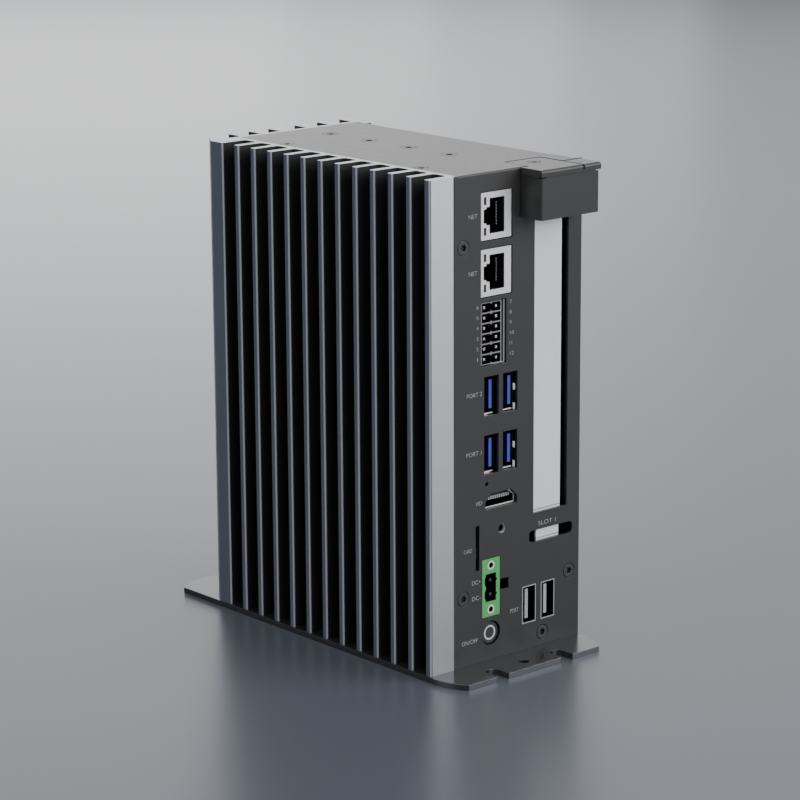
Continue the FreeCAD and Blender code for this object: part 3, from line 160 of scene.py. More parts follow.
class Graph:
    """A material's node tree, with one method that adds any node."""

    def __init__(self, name: str) -> None:
        """Make the material and find its shader."""
        self.material = bpy.data.materials.new(name)
        self.material.use_nodes = True
        self.tree = self.material.node_tree
        self.shader = next(n for n in self.tree.nodes if n.type == "BSDF_PRINCIPLED")

    def add(self, kind: str, settings: dict[str, object], inputs: dict[Union[int, str], Value],
            output: int = 0) -> Flow:
        """Add a node.

        Args:
            kind: The node's type.
            settings: Its own settings, set before its inputs.
            inputs: The value or link of each input, by name or place.
            output: Which output to return.

        Returns:
            The output.
        """
        node = self.tree.nodes.new(kind)
        for key, value in settings.items():
            setattr(node, key, value)
        for key, value in inputs.items():
            self.feed(node.inputs[key], value)
        return Flow(self, node.outputs[output])

    def feed(self, socket: bpy.types.NodeSocket, value: Value) -> None:
        """Link a value to a socket, or set the socket to it."""
        if isinstance(value, Flow):
            self.tree.links.new(value.socket, socket)
        elif isinstance(value, tuple) and socket.type == "RGBA":
            socket.default_value = (*value, 1.0)
        else:
            socket.default_value = value

    def place(self) -> Flow:
        """Return the Object coordinates."""
        return self.add("ShaderNodeTexCoord", {}, {}, 3)

    def split(self, vector: Flow) -> tuple[Flow, Flow, Flow]:
        """Return a vector's three parts."""
        first = self.add("ShaderNodeSeparateXYZ", {}, {0: vector})
        return tuple(Flow(self, first.socket.node.outputs[i]) for i in range(3))

    def noise(self, scale: float, detail: float = 2.0, stretch: Sequence[float] = (1, 1, 1)) -> Flow:
        """Return a noise of about a given number of grains to the metre.

        Args:
            scale: Grains to the metre.
            detail: The noise's octaves.
            stretch: How much finer the noise is along each axis.

        Returns:
            The noise, from 0 to 1 about 0.5.
        """
        where = self.add("ShaderNodeMapping", {}, {0: self.place(), 3: tuple(stretch)})
        return self.add("ShaderNodeTexNoise", {}, {"Vector": where, "Scale": scale, "Detail": detail})

    def blend(self, factor: Value, first: Value, second: Value) -> Flow:
        """Mix two colours."""
        return self.add("ShaderNodeMix", {"data_type": "RGBA"}, {0: factor, 6: first, 7: second}, 2)

    def edges(self, width: float) -> Flow:
        """Return a value that is 0 on flat faces and rises on the object's sharp edges."""
        rounded = self.add("ShaderNodeBevel", {"samples": 4}, {0: width})
        flat = self.add("ShaderNodeNewGeometry", {}, {}, 1)
        same = self.add("ShaderNodeVectorMath", {"operation": "DOT_PRODUCT"}, {0: rounded, 1: flat}, 1)
        return (1.0 - same).window(0.01, 0.2)

    def bump(self, height: Flow, depth: float, soften: float = 0.0) -> Flow:
        """Return a normal bent by a height.

        Args:
            height: The height, from 0 to 1.
            depth: What 1 stands for, in metres.
            soften: The radius that edges are rounded by, in metres.

        Returns:
            The normal.
        """
        inputs: dict[Union[int, str], Value] = {"Strength": 1.0, "Distance": depth, "Height": height}
        if soften > 0:
            inputs["Normal"] = self.add("ShaderNodeBevel", {"samples": 4}, {0: soften})
        return self.add("ShaderNodeBump", {}, inputs)

    def finish(self, **inputs: Value) -> bpy.types.Material:
        """Set the shader's sockets, whose names have underscores here, and return the material."""
        for key, value in inputs.items():
            self.feed(self.shader.inputs[key.replace("_", " ")], value)
        return self.material


# ---------------------------------------------------------------- finishes

@dataclass(frozen=True)
class Paint:
    """Baked paint with a fine grain and a little uneven, with a painted highlight along the edges, painted
    light that makes it lighter towards the top, and painted shadow in the gaps that it is given.
    """

    name: str
    colour: Colour
    # Painted highlight colour along the edges.
    worn: Colour
    roughness: float = 0.55
    grain: float = 2600.0
    depth: float = 0.00003
    edge: float = 0.0002
    metal: float = 0.0
    # Painted light: factors on the colour at the bottom and at the top.
    fade: tuple[float, float] = (1.0, 1.0)
    # Painted shadow: boxes near the top in which the paint is darkened and made rougher.
    seams: tuple[tuple[float, float, float, float], ...] = ()
    seam_deep: float = 1.6 * MM
    seam_shade: float = 0.02
    seam_rough: float = 0.6

    def build(self) -> bpy.types.Material:
        """Return the material."""
        g = Graph(self.name)
        patches = g.noise(24.0, 3.0).spread(0.96, 1.04)
        speckle = g.noise(self.grain, 3.0)
        x, y, z = g.split(g.place())
        rough = g.noise(300.0, 2.0).spread(self.roughness - 0.03, self.roughness + 0.05)
        height = z.window(CAD_BOX[0].z, CAD_BOX[1].z)
        # Painted light: the colour is scaled by height, darker towards the bottom and lighter towards the
        # top.
        shade = patches * speckle.spread(0.92, 1.08) * height.spread(*self.fade)
        # Painted shadow in the gaps: in each box the colour is darkened and the roughness raised.
        for left, right, near, far in self.seams:
            inside = (x > left) * (x < right) * (y > near) * (y < far) * (z > CAD_BOX[1].z - self.seam_deep)
            shade = shade * inside.spread(1.0, self.seam_shade)
            rough = rough + inside * self.seam_rough
        base = g.add("ShaderNodeVectorMath", {"operation": "SCALE"}, {0: self.colour, 3: shade})
        # Painted highlight: the sharp edges are mixed, in patches, towards the lighter edge colour.
        highlight_mask = g.edges(self.edge) * g.noise(140.0, 3.0).spread(0.3, 0.6)
        return g.finish(Base_Color=g.blend(highlight_mask, base, self.worn), Metallic=self.metal,
                        Roughness=rough, Normal=g.bump(speckle, self.depth, self.edge))


@dataclass(frozen=True)
class Anodised:
    """Black anodised extrusion: die lines along its length and bright faces where it was cut, with a
    painted highlight on the chamfers and edges, painted light on the outer faces of the fins and painted
    shade on the faced front towards the bottom.
    """

    name: str
    box: Box
    colour: Colour = tone(44, 45, 48)
    # Painted light: the outer faces of the fins are lighter than their sides.
    tip: Colour = tone(100, 105, 120)
    # Painted highlight colour of the chamfers and sharp edges.
    chamfer: Colour = tone(190, 194, 204)
    cut: Colour = tone(226, 228, 230)
    front: Colour = tone(236, 239, 243)
    chamfer_depth: float = 0.45 * MM
    faced_width: float = 10.3 * MM

    def build(self) -> bpy.types.Material:
        """Return the material."""
        g = Graph(self.name)
        x, y, z = g.split(g.place())
        low, high = self.box
        near = 0.03 * MM
        lines = g.noise(900.0, 4.0, (1, 1, 0.004))
        mill = g.noise(520.0, 3.0, (0.12, 1, 1))
        height = z.window(low.z, high.z)
        sawn = z > high.z - near
        faced = (y < low.y + near) * (x < low.x + self.faced_width)
        sloped = x < low.x + self.chamfer_depth
        outer = x < low.x + near
        ground = g.blend(lines, self.colour, tuple(c * 1.35 for c in self.colour))
        # Painted highlight: the chamfers at the fin ends take a bright colour.
        ground = g.blend(sloped, ground, self.chamfer)
        # Painted light: the outer faces take the lighter colour, with die lines.
        ground = g.blend(outer, ground, g.blend(lines, self.tip, tuple(c * 1.2 for c in self.tip)))
        # Painted highlight along the sharp edges.
        ground = g.blend(g.edges(0.2 * MM) * 0.4, ground, self.chamfer)
        milled = g.blend(mill, self.front, tuple(c * 0.94 for c in self.front))
        # Painted shade: the faced front is darker towards the bottom and lighter towards the top.
        ground = g.blend(faced, ground, g.blend(height, tuple(c * 0.42 for c in self.front), milled))
        ground = g.blend(sawn, ground, g.blend(mill, self.cut, tuple(c * 0.86 for c in self.cut)))
        bright = (sawn + faced).math("MINIMUM", 1.0)
        return g.finish(Base_Color=ground, Metallic=bright.spread(0.25, 0.6),
                        Roughness=lines.spread(0.34, 0.46) + bright * 0.06,
                        Normal=g.bump(lines * 0.4 + mill * bright, 0.00002, 0.15 * MM))


@dataclass(frozen=True)
class Plated:
    """Bare or plated metal with fine marks along one axis, a painted highlight along its edges and painted
    shadow lines at the heights that it is given.
    """

    name: str
    colour: Colour
    dull: Colour
    along: Axis
    roughness: float = 0.3
    marks: float = 1500.0
    depth: float = 0.000012
    edge: float = 0.0001
    metal: float = 1.0
    # Painted shadow: heights at which a thin dark line is painted along a bend.
    creases: tuple[float, ...] = ()

    def build(self) -> bpy.types.Material:
        """Return the material."""
        g = Graph(self.name)
        stretch = [1.0, 1.0, 1.0]
        stretch[self.along.value] = 0.02
        brush = g.noise(self.marks, 4.0, stretch)
        stains = g.noise(45.0, 4.0).window(0.35, 0.7)
        base = g.blend(stains * 0.5 + brush * 0.3, self.colour, self.dull)
        # Painted highlight: the sharp edges are mixed towards a brighter colour.
        base = g.blend(g.edges(self.edge) * 0.6, base, tuple(min(1.0, c * 1.2) for c in self.colour))
        height = g.split(g.place())[2]
        # Painted shadow: a thin dark line at each given height.
        for level in self.creases:
            line = (height - level).math("ABSOLUTE") < 0.13 * MM
            base = g.blend(line * 0.85, base, (0.01, 0.01, 0.01))
        return g.finish(Base_Color=base, Metallic=self.metal,
                        Roughness=brush.spread(self.roughness - 0.07, self.roughness + 0.12),
                        Normal=g.bump(brush, self.depth, self.edge))


@dataclass(frozen=True)
class Moulded:
    """Moulded plastic: a spark-eroded grain, slow flow marks and softened edges, with a painted highlight
    on the edges.
    """

    name: str
    colour: Colour
    # Lighter colour of the flow marks, also used for the painted highlight on the edges.
    light: Colour
    roughness: float = 0.42
    grain: float = 3200.0
    depth: float = 0.00001
    edge: float = 0.00012

    def build(self) -> bpy.types.Material:
        """Return the material."""
        g = Graph(self.name)
        grain = g.noise(self.grain, 2.0)
        flow = g.noise(160.0, 3.0, (1, 0.3, 1))
        base = g.blend(flow.spread(0.0, 0.6), self.colour, self.light)
        # Painted highlight: the sharp edges are mixed halfway towards the lighter colour.
        base = g.blend(g.edges(self.edge) * 0.5, base, self.light)
        return g.finish(Base_Color=base,
                        Roughness=grain.spread(self.roughness - 0.08, self.roughness + 0.1),
                        Normal=g.bump(grain, self.depth, self.edge))


@dataclass(frozen=True)
class Mouth:
    """A socket's part: its front edges in a light colour and, behind them, a dark colour, which is painted
    shade where the part is not dark itself.
    """

    name: str
    edge: Colour
    inside: Colour
    face: float
    reach: float = 0.3 * MM
    metal: float = 0.0
    roughness: float = 0.4
    comb: float = 0.0
    limit: float = 1.0

    def build(self) -> bpy.types.Material:
        """Return the material."""
        g = Graph(self.name)
        x, y, z = g.split(g.place())
        front = (y < self.face + self.reach) * (x < self.limit)
        if self.comb > 0:
            front = front * (x.math("PINGPONG", self.comb) > self.comb * 0.5)
        grain = g.noise(1800.0, 3.0)
        edge = g.blend(grain.spread(0.0, 0.6), self.edge, tuple(c * 0.86 for c in self.edge))
        # Painted shade: all but the front takes the dark colour.
        inside = g.blend(grain, self.inside, tuple(c * 1.4 for c in self.inside))
        return g.finish(Base_Color=g.blend(front, inside, edge), Metallic=front * self.metal,
                        Roughness=grain.spread(self.roughness - 0.06, self.roughness + 0.08),
                        Normal=g.bump(grain, 0.000006, 0.08 * MM))


@dataclass(frozen=True)
class Board:
    """A circuit board: solder mask over copper tracks, with bright pads and laminate edges."""

    name: str
    mask: Colour
    track: Colour
    pad: Colour

    def build(self) -> bpy.types.Material:
        """Return the material."""
        g = Graph(self.name)
        place = g.place()
        tracks = g.add("ShaderNodeTexBrick", {"offset": 0.37, "squash": 0.6, "squash_frequency": 3},
                       {"Vector": place, "Scale": 520.0, "Mortar Size": 0.06, "Mortar Smooth": 0.0}, 1)
        areas = g.noise(130.0, 1.0).window(0.49, 0.51)
        dots = g.add("ShaderNodeTexVoronoi", {}, {"Vector": place, "Scale": 430.0})
        base = g.blend(tracks * areas, self.mask, self.track)
        pads = (dots < 0.14) * (1.0 - areas)
        base = g.blend(pads, base, self.pad)
        return g.finish(Base_Color=base, Metallic=pads * 0.9, Roughness=g.noise(500.0).spread(0.28, 0.42),
                        Normal=g.bump(tracks * areas + pads, 0.00003, 0.05 * MM))


@dataclass(frozen=True)
class Ringed:
    """Glossy plastic with a printed ring about an axis along Y and a painted highlight on its edges."""

    name: str
    colour: Colour
    ring: Colour
    centre: tuple[float, float]
    radius: float
    line: float
    face: float

    def build(self) -> bpy.types.Material:
        """Return the material."""
        g = Graph(self.name)
        x, y, z = g.split(g.place())
        across = x - self.centre[0]
        up = z - self.centre[1]
        away = (across * across + up * up).math("SQRT")
        printed = ((away - self.radius).math("ABSOLUTE") < self.line / 2) * (y < self.face)
        grain = g.noise(2400.0, 2.0)
        # Painted highlight: the sharp edges are mixed towards twice the colour.
        base = g.blend(g.edges(0.1 * MM) * 0.4, self.colour, tuple(c * 2.0 for c in self.colour))
        return g.finish(Base_Color=g.blend(printed * grain.spread(0.8, 1.0), base, self.ring),
                        Roughness=grain.spread(0.24, 0.36), Normal=g.bump(grain, 0.000006, 0.15 * MM))


BLACK_COAT = Paint("smooth_black_coat", tone(98, 100, 104), tone(160, 162, 166), 0.2, 900.0, 0.000003,
                   metal=0.85)
# Painted light by height makes the two grey paints below lighter towards the top.
GREY_PAINT = Paint("fine_grain_paint", tone(51, 51, 51), tone(106, 106, 106), 0.36, 2600.0, 0.00001,
                   fade=(0.66, 1.5))
SCREW_PAINT = Paint("painted_screw", tone(54, 54, 55), tone(84, 84, 86), 0.36, 2600.0, 0.000006, 0.0001,
                    fade=(0.8, 1.5))
SCREW_SHADE = Moulded("screw_recess", tone(8, 8, 9), tone(16, 16, 17), 0.5)
BRIGHT_PLATE = Plated("bright_plate", tone(224, 226, 230), tone(186, 188, 194), Axis.Z, 0.3)
PALE_PLATE = Plated("pale_plate", tone(244, 245, 247), tone(222, 224, 228), Axis.Y, 0.42, metal=0.4)
WIRE_PLATE = Plated("wire_plate", tone(252, 252, 250), tone(236, 234, 226), Axis.Y, 0.4, metal=0.5)
DULL_PIN = Plated("dull_pin", tone(92, 93, 96), tone(64, 65, 68), Axis.Y, 0.4)
DULL_ZINC = Plated("dull_zinc", tone(196, 198, 202), tone(150, 152, 158), Axis.Z, 0.42)
GOLD_PLATE = Plated("gold_plate", tone(236, 196, 110), tone(200, 158, 84), Axis.Y, 0.25)
MILLED = Plated("milled_aluminium", tone(222, 223, 226), tone(190, 192, 196), Axis.Y, 0.34)
BLACK_MOULDING = Moulded("black_moulding", tone(24, 24, 26), tone(52, 52, 55))
# Near black: the own colour of the network inserts and other dark parts, and painted shade on the cap shelf
# seen through the gap round the slot cap's tongue.
DARK_PARTS_AND_SHADE = Moulded("dark_parts_and_painted_shade", tone(9, 9, 10), tone(18, 18, 19), 0.5)
TINTED_WINDOW = Moulded("tinted_window", tone(34, 34, 32), tone(62, 62, 56), 0.16)
CHIP = Moulded("chip_body", tone(30, 30, 32), tone(54, 54, 57), 0.5)
SOFT_PAD = Moulded("soft_pad", tone(150, 154, 160), tone(176, 180, 184), 0.7)
PALE_PRINT = Moulded("pale_print", tone(178, 178, 178), tone(206, 206, 206), 0.5)
GREEN_BOARD = Board("green_board", tone(22, 74, 44), tone(40, 108, 64), tone(214, 200, 150))


# ---------------------------------------------------------------- meshes

def new_piece(name: str, mesh: bmesh.types.BMesh, finish: bpy.types.Material,
              second: Optional[bpy.types.Material] = None) -> bpy.types.Object:
    """Turn a bmesh into a piece that rides on a body.

    Args:
        name: The piece's name.
        mesh: The shape, in place, which is freed.
        finish: Its material.
        second: The material of its faces with index 1.

    Returns:
        The object.
    """
    data = bpy.data.meshes.new(name)
    mesh.to_mesh(data)
    mesh.free()
    data.materials.append(finish)
    if second is not None:
        data.materials.append(second)
    obj = bpy.data.objects.new(name, data)
    bpy.context.scene.collection.objects.link(obj)
    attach(obj, "root")
    LOG.info("%s: %d faces", name, len(data.polygons))
    return obj


def islands(node: str) -> list[Box]:
    """Return the boxes of a CAD node's separate solids, sorted by place.

    Args:
        node: The node's name.

    Returns:
        A lowest and a highest corner for each solid.
    """
    mesh = bmesh.new()
    mesh.from_mesh(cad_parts[node].data)
    bmesh.ops.remove_doubles(mesh, verts=mesh.verts[:], dist=1e-6)
    left = set(mesh.verts)
    boxes = []
    while left:
        reached = {left.pop()}
        edge = set(reached)
        while edge:
            edge = {e.other_vert(v) for v in edge for e in v.link_edges} & left
            left -= edge
            reached |= edge
        corners = [Vector(tuple(pick(v.co[i] for v in reached) for i in range(3))) for pick in (min, max)]
        boxes.append((corners[0], corners[1]))
    mesh.free()
    return sorted(boxes, key=lambda b: tuple(round(c, 5) for c in b[0]))


def ring_up(mesh: bmesh.types.BMesh, rings: Sequence[tuple[float, float]], segments: int,
            warp: Callable[[int, float], float] = lambda index, angle: 1.0) -> None:
    """Build a closed turned shape about Z from its underside to its top.

    Args:
        mesh: The bmesh that it goes into.
        rings: The radius and height of each ring.
        segments: How many sides it has.
        warp: Gives a factor on the radius for a ring's number and an angle.
    """
    start = bmesh.ops.create_circle(mesh, cap_ends=True, segments=segments, radius=1.0)
    ring = start["verts"]
    angles = {v: math.atan2(v.co.y, v.co.x) for v in ring}

    def settle(verts: Sequence[bmesh.types.BMVert], index: int) -> None:
        """Move a ring to its radius and height."""
        radius, height = rings[index]
        for v in verts:
            reach = radius * warp(index, angles[v])
            v.co = (math.cos(angles[v]) * reach, math.sin(angles[v]) * reach, height)

    settle(ring, 0)
    edges = [e for e in mesh.edges if e.verts[0] in angles and e.verts[1] in angles]
    for index in range(1, len(rings)):
        grown = bmesh.ops.extrude_edge_only(mesh, edges=edges)["geom"]
        verts = [g for g in grown if isinstance(g, bmesh.types.BMVert)]
        edges = [g for g in grown if isinstance(g, bmesh.types.BMEdge)
                 and g.verts[0] in verts and g.verts[1] in verts]
        for v in verts:
            near = min(angles, key=lambda o: (o.co - v.co).length)
            angles[v] = angles[near]
        for old in [o for o in angles if o not in verts]:
            del angles[old]
        settle(verts, index)
    bmesh.ops.contextual_create(mesh, geom=edges)
    bmesh.ops.recalc_face_normals(mesh, faces=mesh.faces[:])


@dataclass(frozen=True)
class Dome:
    """The sizes of a countersunk screw's head with a star recess."""

    radius: float
    recess: float
    depth: float
    lobe: float = 0.18
    segments: int = 60

    def add(self, mesh: bmesh.types.BMesh, matrix: Matrix) -> None:
        """Add one head to a bmesh.

        Args:
            mesh: The bmesh.
            matrix: Turns the head from up and takes it to its place.
        """
        part = bmesh.new()
        rings = [(1.5 * MM, -1.2 * MM), (self.radius, -0.16 * MM), (self.radius - 0.04 * MM, -0.05 * MM),
                 (self.radius - 0.16 * MM, 0.0), (self.recess * 1.2, 0.0), (self.recess, -0.08 * MM),
                 (self.recess * 0.96, -self.depth), (self.recess * 0.4, -self.depth * 1.15)]

        def star(index: int, angle: float) -> float:
            """Pull the recess's rings into six lobes."""
            return 1.0 + self.lobe * math.cos(6 * angle) if index in (4, 5, 6) else 1.0

        ring_up(part, rings, self.segments, star)
        for face in part.faces:
            centre = face.calc_center_median()
            reach = math.hypot(centre.x, centre.y)
            in_recess = reach < self.recess * 1.05 and centre.z < -0.06 * MM
            face.material_index = int((in_recess or centre.z < -0.12 * MM) and centre.z > -1.19 * MM)
        bmesh.ops.transform(part, matrix=matrix, verts=part.verts[:])
        data = bpy.data.meshes.new("head")
        part.to_mesh(data)
        part.free()
        mesh.from_mesh(data)
        bpy.data.meshes.remove(data)


@dataclass
class Screws:
    """The countersunk screws that close the housing."""

    recess_share: float = 0.38
    depth: float = 0.9 * MM
    play: float = 0.3 * MM

    def build(self) -> None:
        """Make each set in the place of its CAD node."""
        finish, shade = SCREW_PAINT.build(), SCREW_SHADE.build()
        sets = {"front_screws": Facing.FRONT, "top_screws": Facing.UP, "ledge_screws": Facing.UP,
                "cap_screw": Facing.UP, "side_screws": Facing.RIGHT, "base_screws": Facing.DOWN}
        for node, facing in sets.items():
            mesh = bmesh.new()
            for low, high in islands(node):
                centre, reach = self.seat(low, high, facing)
                head = Dome(reach - self.play, reach * self.recess_share, self.depth)
                head.add(mesh, Matrix.Translation(centre) @ facing.value)
            piece = new_piece(node + "_heads", mesh, finish, shade)
            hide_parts(node)

    @staticmethod
    def seat(low: Vector, high: Vector, facing: Facing) -> tuple[Vector, float]:
        """Find where a screw's face is.

        Args:
            low: The screw's lowest corner.
            high: Its highest corner.
            facing: The side that its face looks towards.

        Returns:
            The middle of its face and its head's radius.
        """
        centre = (low + high) / 2
        if facing is Facing.FRONT:
            centre.y = low.y
            return centre, (high.x - low.x) / 2
        if facing is Facing.RIGHT:
            centre.x = high.x
            return centre, (high.y - low.y) / 2
        centre.z = high.z if facing is Facing.UP else low.z
        return centre, (high.x - low.x) / 2


@dataclass(frozen=True)
class Word:
    """A printed word: its text, the middle and width of its place and its letters' height."""

    name: str
    text: str
    centre: tuple[float, float]
    width: float
    height: float = 1.5 * MM


@dataclass
class Lettering:
    """Plain printed words and numbers beside the sockets."""

    thick: float = 0.01 * MM
    digit: float = 1.25 * MM
    rows: int = 6
    lift: float = 0.6 * MM
    left_gap: float = 1.85 * MM
    right_gap: float = 1.9 * MM
    font_share: float = 1.42
    thinner: float = 0.018

    def build(self) -> None:
        """Print each word on the front."""
        finish = PALE_PRINT.build()
        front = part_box("front_cover")[0].y
        for word in (*self.words(), *self.numbers()):
            self.print_word(word, front, finish)

    def beside(self, name: str, node: str, text: str, offset: tuple[float, float], width: float) -> Word:
        """Place a word by a node.

        Args:
            name: The piece's name.
            node: The node that it stands beside.
            text: The word.
            offset: How far its middle lies right of the node's left edge and above its middle,
                in millimetres.
            width: Its width in millimetres.

        Returns:
            The word.
        """
        low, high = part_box(node)
        centre = (low.x + offset[0] * MM, (low.z + high.z) / 2 + offset[1] * MM)
        return Word(name, text, centre, width * MM)

    def words(self) -> list[Word]:
        """Return the words beside the sockets."""
        return [
            self.beside("print_network_upper", "lan_shield_1", "NET", (-3.95, 0.55), 3.8),
            self.beside("print_network_lower", "lan_shield_2", "NET", (-3.95, 0.55), 3.8),
            self.beside("print_port_upper", "usb3_shell_1", "PORT 2", (-5.0, 1.3), 6.8),
            self.beside("print_port_lower", "usb3_shell_3", "PORT 1", (-5.0, 1.3), 6.8),
            self.beside("print_video", "video_shell", "VID", (-3.1, 0.15), 2.8),
            self.beside("print_card", "sim_socket", "CARD", (-2.9, -0.25), 3.6),
            self.beside("print_plus", "power_header", "DC+", (-2.3, 3.0), 3.9),
            self.beside("print_minus", "power_header", "DC-", (-2.3, -2.6), 3.9),
            self.beside("print_plain", "usb2_shell_1", "PORT", (-3.7, -0.9), 3.8),
            self.beside("print_switch", "power_button", "ON/OFF", (-4.8, -1.35), 7.3),
            self.beside("print_slot", "slot_blank", "SLOT 1", (11.45, -51.8), 8.3),
        ]

    def numbers(self) -> list[Word]:
        """Return the numbers on both sides of the twelve-pin header."""
        low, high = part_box("io_header")
        pitch = (high.z - low.z) / self.rows
        found = []
        for row in range(self.rows):
            level = low.z + pitch * (row + 0.5) + self.lift
            right = 2 * self.rows - row
            narrow = 0.25 if row == 0 else 0.8
            place = (low.x - self.left_gap, level)
            found.append(Word(f"print_left_{row + 1}", str(row + 1), place, narrow * MM, self.digit))
            wide = {11: 1.1, 10: 1.7, 12: 1.7}.get(right, 0.8) * MM
            place = (high.x + self.right_gap + wide / 2, level)
            found.append(Word(f"print_right_{right}", str(right), place, wide, self.digit))
        return found

    def print_word(self, word: Word, front: float, finish: bpy.types.Material) -> None:
        """Make one word as a thin mesh on the front.

        Args:
            word: What is printed and where.
            front: The Y of the front's face.
            finish: Its material.
        """
        curve = bpy.data.curves.new(word.name, "FONT")
        curve.body = word.text
        curve.size = word.height * self.font_share
        curve.align_x = "CENTER"
        curve.align_y = "CENTER"
        curve.offset = -word.height * self.thinner
        curve.extrude = self.thick
        source = bpy.data.objects.new(word.name + "_source", curve)
        data = bpy.data.meshes.new_from_object(source)
        bpy.data.objects.remove(source)
        mesh = bmesh.new()
        mesh.from_mesh(data)
        bpy.data.meshes.remove(data)
        reach = [v.co.x for v in mesh.verts]
        squeeze = Matrix.Diagonal((word.width / (max(reach) - min(reach)), 1, 1, 1))
        centre = Vector((word.centre[0], front, word.centre[1]))
        matrix = Matrix.Translation(centre) @ Facing.FRONT.value @ squeeze
        bmesh.ops.transform(mesh, matrix=matrix, verts=mesh.verts[:])
        new_piece(word.name, mesh, finish)


@dataclass
class NetworkContacts:
    """The eight sprung wires in each network jack."""

    length: float = 2.1 * MM
    height: float = 0.5 * MM
    setback: float = 2.3 * MM
    inset: float = 0.75 * MM
    thick: float = 0.24 * MM
    slope: float = math.radians(-38)
    round_off: float = 0.1 * MM

    def build(self) -> None:
        """Lay each jack's wires in the place of its plain contacts."""
        finish = WIRE_PLATE.build()
        for number in (1, 2):
            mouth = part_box(f"lan_shield_{number}")[0].y
            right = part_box(f"lan_contacts_{number}")[1].x - self.inset
            mesh = bmesh.new()
            for low, high in islands(f"lan_contacts_{number}"):
                centre = (right, mouth + self.setback + self.length / 2, (low.z + high.z) / 2)
                size = (self.thick, self.length, self.height, 1)
                lean = Matrix.Rotation(self.slope, 4, "Z") @ Matrix.Diagonal(size)
                made = bmesh.ops.create_cube(mesh, size=1.0, matrix=Matrix.Translation(centre) @ lean)
                edges = list({e for v in made["verts"] for e in v.link_edges})
                bmesh.ops.bevel(mesh, geom=edges, offset=self.round_off, affect="EDGES", segments=3,
                                profile=0.5, material=-1)
            piece = new_piece(f"network_wires_{number}", mesh, finish)
            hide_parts(f"lan_contacts_{number}")


@dataclass
class PowerLobes:
    """The rounded corners inside the power header's keyed mouth."""

    inset: float = 1.15 * MM
    width: float = 1.2 * MM
    radius: float = 2.45 * MM
    deep: float = 1.4 * MM
    sunk: float = 0.02 * MM
    steps: int = 10

    def build(self, finish: bpy.types.Material) -> None:
        """Fill the four corners.

        Args:
            finish: The header's own material.
        """
        low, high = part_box("power_header")
        left = low.x + self.inset
        middle = (low.z + high.z) / 2
        mesh = bmesh.new()
        for lobe in (-1, 1):
            for side in (-1, 1):
                self.corner(mesh, left, low.y, middle + lobe * self.radius, side)
        new_piece("power_mouth_corners", mesh, finish)

    def corner(self, mesh: bmesh.types.BMesh, left: float, front: float, level: float, side: int) -> None:
        """Add one corner: a square corner less a quarter of an oval.

        Args:
            mesh: The bmesh that it goes into.
            left: The X of the mouth's left side.
            front: The Y of the header's face.
            level: The Z of the lobe's middle.
            side: Whether it is the corner above, 1, or below, -1.
        """
        y = front + self.deep
        verts = [mesh.verts.new((left, y, level + side * self.radius))]
        for step in range(self.steps + 1):
            angle = math.pi / 2 * step / self.steps
            verts.append(mesh.verts.new((left + self.width * (1 - math.cos(angle)), y,
                                         level + side * self.radius * math.sin(angle))))
        face = bmesh.ops.contextual_create(mesh, geom=verts)["faces"]
        grown = bmesh.ops.extrude_face_region(mesh, geom=face)["geom"]
        moved = [item for item in grown if isinstance(item, bmesh.types.BMVert)]
        bmesh.ops.translate(mesh, vec=(0, self.sunk - self.deep, 0), verts=moved)
        bmesh.ops.recalc_face_normals(mesh, faces=mesh.faces[:])


@dataclass
class LockRing:
    """The bright first turn of the lock's thread, inside the panel's hole."""

    outer: float = 1.57 * MM
    inner: float = 1.5 * MM
    start: float = 0.12 * MM
    end: float = 1.15 * MM
    steps: int = 40

    def build(self) -> None:
        """Spin the ring's section about the lock's axis."""
        low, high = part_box("lock_insert")
        axis = Vector(((low.x + high.x) / 2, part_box("front_cover")[0].y, (low.z + high.z) / 2))
        mesh = bmesh.new()
        section = [(self.outer, self.start), (self.inner, self.start),
                   (self.inner, self.end), (self.outer, self.end)]
        verts = [mesh.verts.new(axis + Vector((radius, depth, 0))) for radius, depth in section]
        edges = [mesh.edges.new(pair) for pair in zip(verts, verts[1:] + verts[:1])]
        bmesh.ops.spin(mesh, geom=verts + edges, cent=axis, axis=(0, 1, 0), angle=math.tau,
                       steps=self.steps, use_merge=True)
        bmesh.ops.recalc_face_normals(mesh, faces=mesh.faces[:])
        new_piece("lock_thread_ring", mesh, PALE_PLATE.build())


